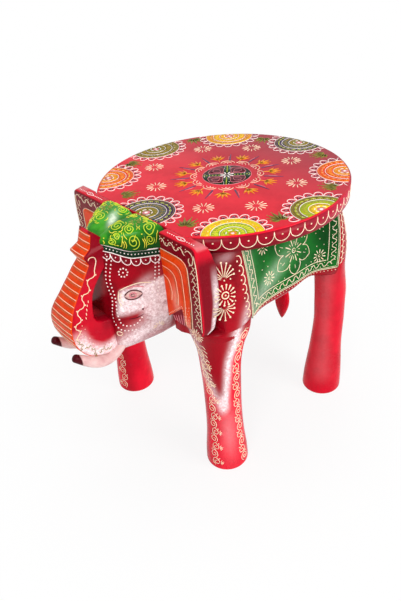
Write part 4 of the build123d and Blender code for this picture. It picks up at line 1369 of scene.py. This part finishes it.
def paint_panel(ear, outer):
    """Orange panel whose foot slants up to a red lobe, with its outer part running on to the ear's
    end, four nested pairs of lines that turn its corner, each a cream line with a dark line of
    painted shadow beside it, and dots and strokes at its foot."""
    t, u = np.linspace(0, 1, 22)[:, None], np.linspace(0, 1, 44)
    x = 49.5 + (outer - 16.6 - 3.5 * ease(-t, -0.5, 0) - 49.5) * u
    low = 205 + np.clip(x - 50, 0, 24) * 0.85 * (1 - ease(x, 74, 79))
    high = 286.5 - 200 * np.clip(u - 0.85, 0, 1) ** 2
    ear.field(ORANGE, grid(x, low + (high - low) * t), 0.3)
    for inset in (0.0, 10.0, 20.0, 30.0):
        top, far = 287.5 - inset, outer - 15.8 - inset
        foot = 206.5 + max(24 - max(far - 50, 0) * 0.2, 0) * (far < 79)
        for shift, paint, width in ((0, CREAM, 0.95), (-2.2, LINE_SHADOW, 0.6)):
            edge = far + shift
            bow = curve([(edge - 9, top + shift - 0.5), (edge - 3, top + shift - 3.5), (edge, top - 11)], 0.8)
            ear.line(paint, [(49.4, top + shift), (far - 14, top + shift), *bow, (edge + 0.8, 240),
                             (edge - 1.5, foot)], width=width)
    ear.dots(CREAM, evenly([(51.0, 208.5), (75.0, 229.0), (79.5, 211)], 3.4), radius=0.75)
    ear.dots(CREAM, scattered(12, 80, 8, 207, 2.3), radius=0.6)
    ear.lines(BLUSH, [[(58 + 4.4 * k, 210 + 2.2 * k), (61.5 + 3.6 * k, 204.5)] for k in range(5)], width=1.5,
              start=0.5)


def paint_ear_border(ear, outer):
    """Scroll and dots along the top, a loop at the corner, a scroll down the outer edge, and a thin
    line beside it."""
    way = curve([(50.5, 296.8), (70, 297.0), (outer - 17, 296.6)])
    ear.line(CREAM, wavy(way, 2.9, 14.0), width=0.95)
    ear.dots(CREAM, evenly(way, 7.0)[:-1] + (3.5, 0), radius=0.7)
    ear.dots(CREAM, evenly(way, 7.0) + (1.75, 4.6), radius=0.6)
    corner = [(-17, 297), (-12, 300.5), (-6.6, 297.5), (-6.4, 290.5), (-9.6, 286), (-12.6, 289), (-11, 293.5)]
    ear.line(CREAM, curve(corner + np.array([outer, 0])), width=1.0)
    way = curve([(outer - 8.2, 285), (outer - 7.4, 262), (outer - 7.0, 240), (outer - 7.5, 214)])
    ear.line(CREAM, wavy(way, 1.9, 8.5), width=0.75)
    ear.dots(CREAM, evenly(way, 4.2) + (3.6, 0), radius=0.6)
    ear.dots(CREAM, evenly(way, 8.5) - (3.6, 0), radius=0.6)
    edge = [(-4.4, 298), (-2.6, 285), (-2.0, 262), (-1.9, 235), (-2.4, 210)]
    ear.line(CREAM, curve(edge + np.array([outer, 0])), width=0.5)


def ear_haze(x, y, z):
    """Pale haze low on the orange panel."""
    return 0.5 * hump(z, 232, 16) * hump(np.abs(x), 66, 5) + 0.45 * ease(-z, -222, -205) * (np.abs(x) > 76)


for word, side in SIDES:
    outer = EAR_ENDS[word]
    ear = Brush(f"ear_{word}", ear_front(outer, side), side)
    paint_panel(ear, outer)
    paint_ear_border(ear, outer)
    ear.done({"silver_and_highlight": ear_haze})
    # a row of dots along the ear's top, parted by an eye-shaped loop
    top = Brush(f"ear_top_{word}", level(side), side)
    middle = (outer + 50) / 2
    top.dots(WHITE, [(x, -125.5) for x in np.arange(58, outer - 8, 3.2) if abs(x - middle) > 7], radius=0.75)
    t = np.linspace(-1, 1, 11)
    top.lines(WHITE, [grid(middle + 6.5 * t, s * 2.3 * (1 - t ** 2) - 125.5) for s in (1, -1)], width=0.9)
    top.dots(WHITE, (middle, -125.5), radius=0.8)
    top.done()


# ---------------------------------------------------------------- face paint
brow = Brush("cap_hem", hem, -1)
q = np.linspace(BROW_RUN[0] + 1, BROW_RUN[-1] - 1, 120)
brow.field(DARK_GREEN, grid(q, [[1.2], [7.6]]), 0.7)
brow.lines(WHITE, [grid(q, 0.6), grid(q, 7.9)], width=1.3, high=1.2)
brow.dots(WHITE, evenly(grid(q, 4.2), 3.4), radius=0.85, high=1.4)
ends = evenly(grid(q, 8.8), 9.5)
for at in middles(ends):
    brow.field(MAROON, leaf(0, 7.5, 8.5, np.pi / 2, 0.6) + at, 0.25)
brow.lines(WHITE, swags(ends, (0, 7.2)), width=1.15)
brow.dots(WHITE, middles(ends) + (0, 2.8), radius=0.8)
brow.done()

GARLAND = (
    # rows of dots: two round the front of the cheek to the tie, two behind the eye
    [(16.2, 283), (16.8, 270), (17.8, 258), (20.3, 250.8), (24.4, 242), (25.2, 235.5), (24.6, 226),
     (24.8, 217.5), (29, 208.5), (33, 202), (38, 199.5)],
    [(19.9, 282.5), (20.6, 272), (21.7, 259), (25.1, 248.8), (28.2, 237.1), (29.6, 226.2), (31.7, 215.7),
     (34.5, 208.6), (38, 207), (40.2, 210), (42, 215.3)],
    [(48.2, 279), (48.1, 255), (47.1, 234)], [(46.6, 279), (46.4, 257), (45.4, 238.5)])
FACE_LINES = (
    # socket, brow, crease and mouth
    (CREAM, [(29.4, 248.5), (29.9, 239.1), (32.6, 231.8)], 1.1),
    (CREAM, [(31.0, 246.5), (31.4, 239.8), (33.6, 234.6)], 0.8),
    (CREAM, [(29.4, 248.8), (35.3, 252.6), (40.0, 253.6), (45.2, 251.0)], 1.2),
    (BLUSH, [(33.5, 249.3), (38, 250.8), (42.5, 247.5)], 1.2),
    (WINE, [(36.5, 216.2), (39.5, 215.4), (42.5, 217.5)], 1.0))


def paint_eye(brush, eye):
    """Pink almond with dark lids, a ring and a pupil: its lids are the power 0.75 of a parabola."""
    t = np.linspace(-1, 1, 15)
    lid = (1 - t ** 2) ** 0.75
    almond = np.stack([grid(9.0 * t, h * lid) for h in (4.9, 0, -4.3)])
    brush.field(EYE_PINK, placed(brush.chart, eye, almond), 0.5)
    lids = [grid(9.3 * t, 1.08 * 4.9 * lid + 0.2), grid(9.3 * t, -1.08 * 4.3 * lid - 0.2)]
    brush.stamp(WINE, eye, lids, width=1.0, high=1.1)
    brush.stamp(BLUSH, eye, [circle(3.6, 0.8)], width=1.5, high=1.0)
    brush.stamp(WINE, eye, [circle(2.2, 0.8)], width=0.7, high=1.1)
    brush.dots(EYE_PINK, eye, radius=1.1, high=1.2)


front_face = Brush("face", cheek, 1)
for _, side in SIDES:
    for row in GARLAND:
        row = curve(row, 0.5) * (side, 1)
        run = along(cheek(*row.T))
        front_face.dots(WHITE, sample(np.arange(0, run[-1], 4.0), run, row), radius=1.0)
    front_face.stamp(CREAM, (28.6 * side, 198.6), [circle(3.0)], width=1.1)
    blossom = np.concatenate([polar(4.4, turns(9)), [(0, 0)]])
    front_face.stamp_dots(WHITE, (29.9 * side, 266.6), blossom, radius=1.0)
    paint_eye(front_face, (37.4 * side, 242.0))
    for paint, row, width in FACE_LINES:
        front_face.line(paint, curve(row) * (side, 1), width=width)
    front_face.dots(WINE, (42.3 * side, 223.7), radius=1.3)
    front_face.stamp(CREAM, (42.0 * side, 193.0), rays(7, 2.2, 7.2, np.pi / 2, 3.4), width=1.1, start=0.4)
front_face.done()

CURLS = ((15.5, -154.5, 7.4), (40.0, -134.5, 7.0), (9.5, -131.0, 5.2), (26.5, -127.0, 4.0),
         (29.5, -149.5, 5.4), (24.0, -162.0, 3.8))       # place and radius of each on a lobe
crown = Brush("cap", cap_top, 1)
lip = Brush("cap_side", cap_wall, 1)
for _, side in SIDES:
    for k, (x, y, r) in enumerate(CURLS):
        turn = k * 1.9 + side
        crown.stamp(LEMON, (side * x, y), [spiral(r, 2.1, turn, side * (-1) ** k)], width=1.0, high=0.5)
        dab = curve([(r + 0.9, -2.6), (r + 2.3, 0), (r + 1.4, 3.0)])
        dabs = [swung(dab, turn + j * 1.25) for j in range(5)]
        crown.stamp(YELLOW_LINE, (side * x, y), dabs, width=1.1, start=0.4)
    crown.stamp(SAGE, (side * 25.0, -139.5), rays(9, 2.0, 6.6, 0.4), width=1.5, start=0.5)
    for k, (q, r) in enumerate(((8.0, 3.8), (24.0, 4.6), (44.5, 6.2), (61.0, 4.4))):
        lip.line(LEMON, spiral(r, 1.9, k * 2.2, side * (-1) ** k) * (1, 0.9) + (side * q, 7.0), width=0.95)
    for q in (15.5, 34.0, 36.0, 53.0, 55.0):
        lip.line(YELLOW_LINE, curve([(side * q, 1.6), (side * (q + 1.5), 4.6), (side * q, 8.8)]), width=1.1,
                 start=0.4)
    lip.dots(YELLOW_LINE, [(side * q, 11.5) for q in (16, 34.5, 54)], radius=0.8)
crown.done()
lip.done()


# ---------------------------------------------------------------- trunk paint
panel = Brush("trunk_front", trunk_front, -1)
bends = TRUNK_RUN[(TRUNK_RUN > 21.6) & (TRUNK_RUN < 165)]
run = np.concatenate([np.linspace(3, 21.5, 8), bends, np.linspace(28, 165, 60)])
run = np.unique(np.round(run, 2))[:, None]
panel.field(ORANGE, grid((trunk_wide(run) - 1.2) * np.linspace(-1, 1, 9), run), 0.22)
for at in np.arange(4.5, 162, 7.2):
    across = (trunk_wide(at) - 1.4) * np.array([-1, 0, 1])
    panel.line(CREAM, grid(across, at), width=0.95)
    # painted shadow: a dark line just below each cream line
    panel.line(LINE_SHADOW, grid(across, at + 1.7), width=0.75)
panel.done()


def off_front(points):
    """Places given as mm square off the trunk's front line and the run down it, turned into the
    chart's own: the cross lines slant, so the sine and cosine of their slant share the step out."""
    n, run = np.asarray(points, float).T
    way = unit(sample(run + 4, TRUNK_RUN, TRUNK[:, :2]) - sample(run - 4, TRUNK_RUN, TRUNK[:, :2]))
    cross = unit(sample(run, TRUNK_RUN, TRUNK[:, 2:4] - TRUNK[:, :2]))
    slant = (way * cross).sum(1)
    rise = np.sqrt(1 - slant ** 2)
    return grid(n / rise, run - slant * n / rise)


for word, side in SIDES:
    flat = Brush(f"trunk_side_{word}", trunk_side(side), -side)
    stem = off_front(wavy(grid(5.6, np.linspace(43, 121, 60)), 2.4, 16.0, np.pi))
    hook = curve([(1.5, 33), (4.5, 30.5), (8.4, 33.5), (8.0, 38.5), stem[2]])
    flat.line(CREAM, np.concatenate([hook[:-1], stem[3:]]), width=1.05)
    spots = [(q, at + 16.0 * k) for k in range(5) for q, at in ((9.0, 46), (2.2, 54))]
    flat.dots(CREAM, off_front(spots), radius=0.9)
    for k in range(7):
        worm = swung(wavy([(0.0, 0.0), (0.0, 9.0)], 1.3, 4.5, k), 0.9 * np.sin(2.1 * k))
        flat.line(SAGE, off_front(worm + (3.5 + 5.0 * (k * 0.618 % 1), 120 + 8.0 * k)), width=0.6)
    flat.dots(CREAM, scattered(22, 4, 12, 104, 3.3), radius=0.5)
    flat.lines(CREAM, [[(15.5, 84 + 4 * k), (16.5, 87 + 4 * k)] for k in range(5)], width=0.9)
    flat.done()


# ---------------------------------------------------------------- stage
def seen_plain(tree):
    """One for rays from the eye, straight or by a mirror or a glass, and nought for the others."""
    ray = node(tree, "LightPath")
    seen = node(tree, "Math", {"operation": "MAXIMUM"}, _0=ray.outputs["Is Camera Ray"],
                _1=ray.outputs["Is Glossy Ray"])
    return node(tree, "Math", {"operation": "MAXIMUM"}, _0=seen, _1=ray.outputs["Is Transmission Ray"])


def floor_paint():
    """White card.  Near the stool it takes the light and the shadow, with a share of plain white
    for the eye, and further off it is plain white."""
    made, tree = new_tree("pale_floor")
    place = node(tree, "TexCoord").outputs["Object"]
    away = node(tree, "VectorMath", {"operation": "LENGTH"}, _0=place).outputs["Value"]
    share = node(tree, "MapRange", SMOOTH, _0=away, _1=0.12, _2=0.4, _3=0.86, _4=1.0)
    plain = node(tree, "Math", {"operation": "MULTIPLY"}, _0=seen_plain(tree), _1=share)
    matt = node(tree, "BsdfDiffuse", Color=linear("#f6f6f6"))
    glow = node(tree, "Emission", Color=(1, 1, 1, 1), Strength=1.0)
    node(tree, "OutputMaterial", Surface=node(tree, "MixShader", _0=plain, _1=matt, _2=glow))
    return made


floor_data = bpy.data.meshes.new("floor")
floor_data.from_pydata([(-20, -20, 0), (20, -20, 0), (20, 20, 0), (-20, 20, 0)], [], [(0, 1, 2, 3)])
floor_data.materials.append(floor_paint())
floor = bpy.data.objects.new("floor", floor_data)
bpy.context.scene.collection.objects.link(floor)

world = bpy.context.scene.world or bpy.data.worlds.new("studio")
bpy.context.scene.world = world
world.use_nodes = True
tree = world.node_tree
tree.nodes.clear()
lit, white = (node(tree, "Background", Color=(1, 1, 1, 1), Strength=power) for power in (0.3, 1.0))
node(tree, "OutputWorld", Surface=node(tree, "MixShader", _0=seen_plain(tree), _1=lit, _2=white))


def lamp(name, place, towards, size, power):
    """Square soft box."""
    data = bpy.data.lights.new(name, "AREA")
    data.shape, data.size, data.energy = "SQUARE", size, power
    made = bpy.data.objects.new(name, data)
    made.location = place
    made.rotation_euler = (Vector(towards) - Vector(place)).to_track_quat("-Z", "Y").to_euler()
    bpy.context.scene.collection.objects.link(made)


lamp("key", (0.9, -1.3, 1.5), (0, 0, 0.2), 0.7, 19)
lamp("top", (-0.5, 0.3, 1.9), (0, 0, 0.2), 1.2, 10)
lamp("fill", (1.6, 0.5, 0.8), (0, 0, 0.15), 0.9, 20)


def set_camera():
    """Camera at bearing 51.94 degrees from the elephant's nose, 34.8 degrees up, rolled by -5.58,
    with a focal length of 570.98 in a picture 601 high."""
    a, e, r = np.radians([51.94, 34.8, -5.58])
    back = np.array([np.sin(a) * np.cos(e), -np.cos(a) * np.cos(e), np.sin(e)])
    right = unit(np.cross(-back, (0, 0, 1)))
    up = np.cross(right, -back)
    right, up = np.cos(r) * right + np.sin(r) * up, np.cos(r) * up - np.sin(r) * right
    data = bpy.data.cameras.new("camera")
    data.sensor_width = 36.0
    data.lens = 36.0 * 570.98 / 601
    data.clip_start = 0.02
    made = bpy.data.objects.new("camera", data)
    turn = Matrix([list(v) for v in zip(right, up, back)])
    made.matrix_world = Matrix.Translation((0.457995, -0.360578, 0.561735)) @ turn.to_4x4()
    bpy.context.scene.collection.objects.link(made)
    bpy.context.scene.camera = made


set_camera()
bpy.context.scene.view_settings.view_transform = "Standard"
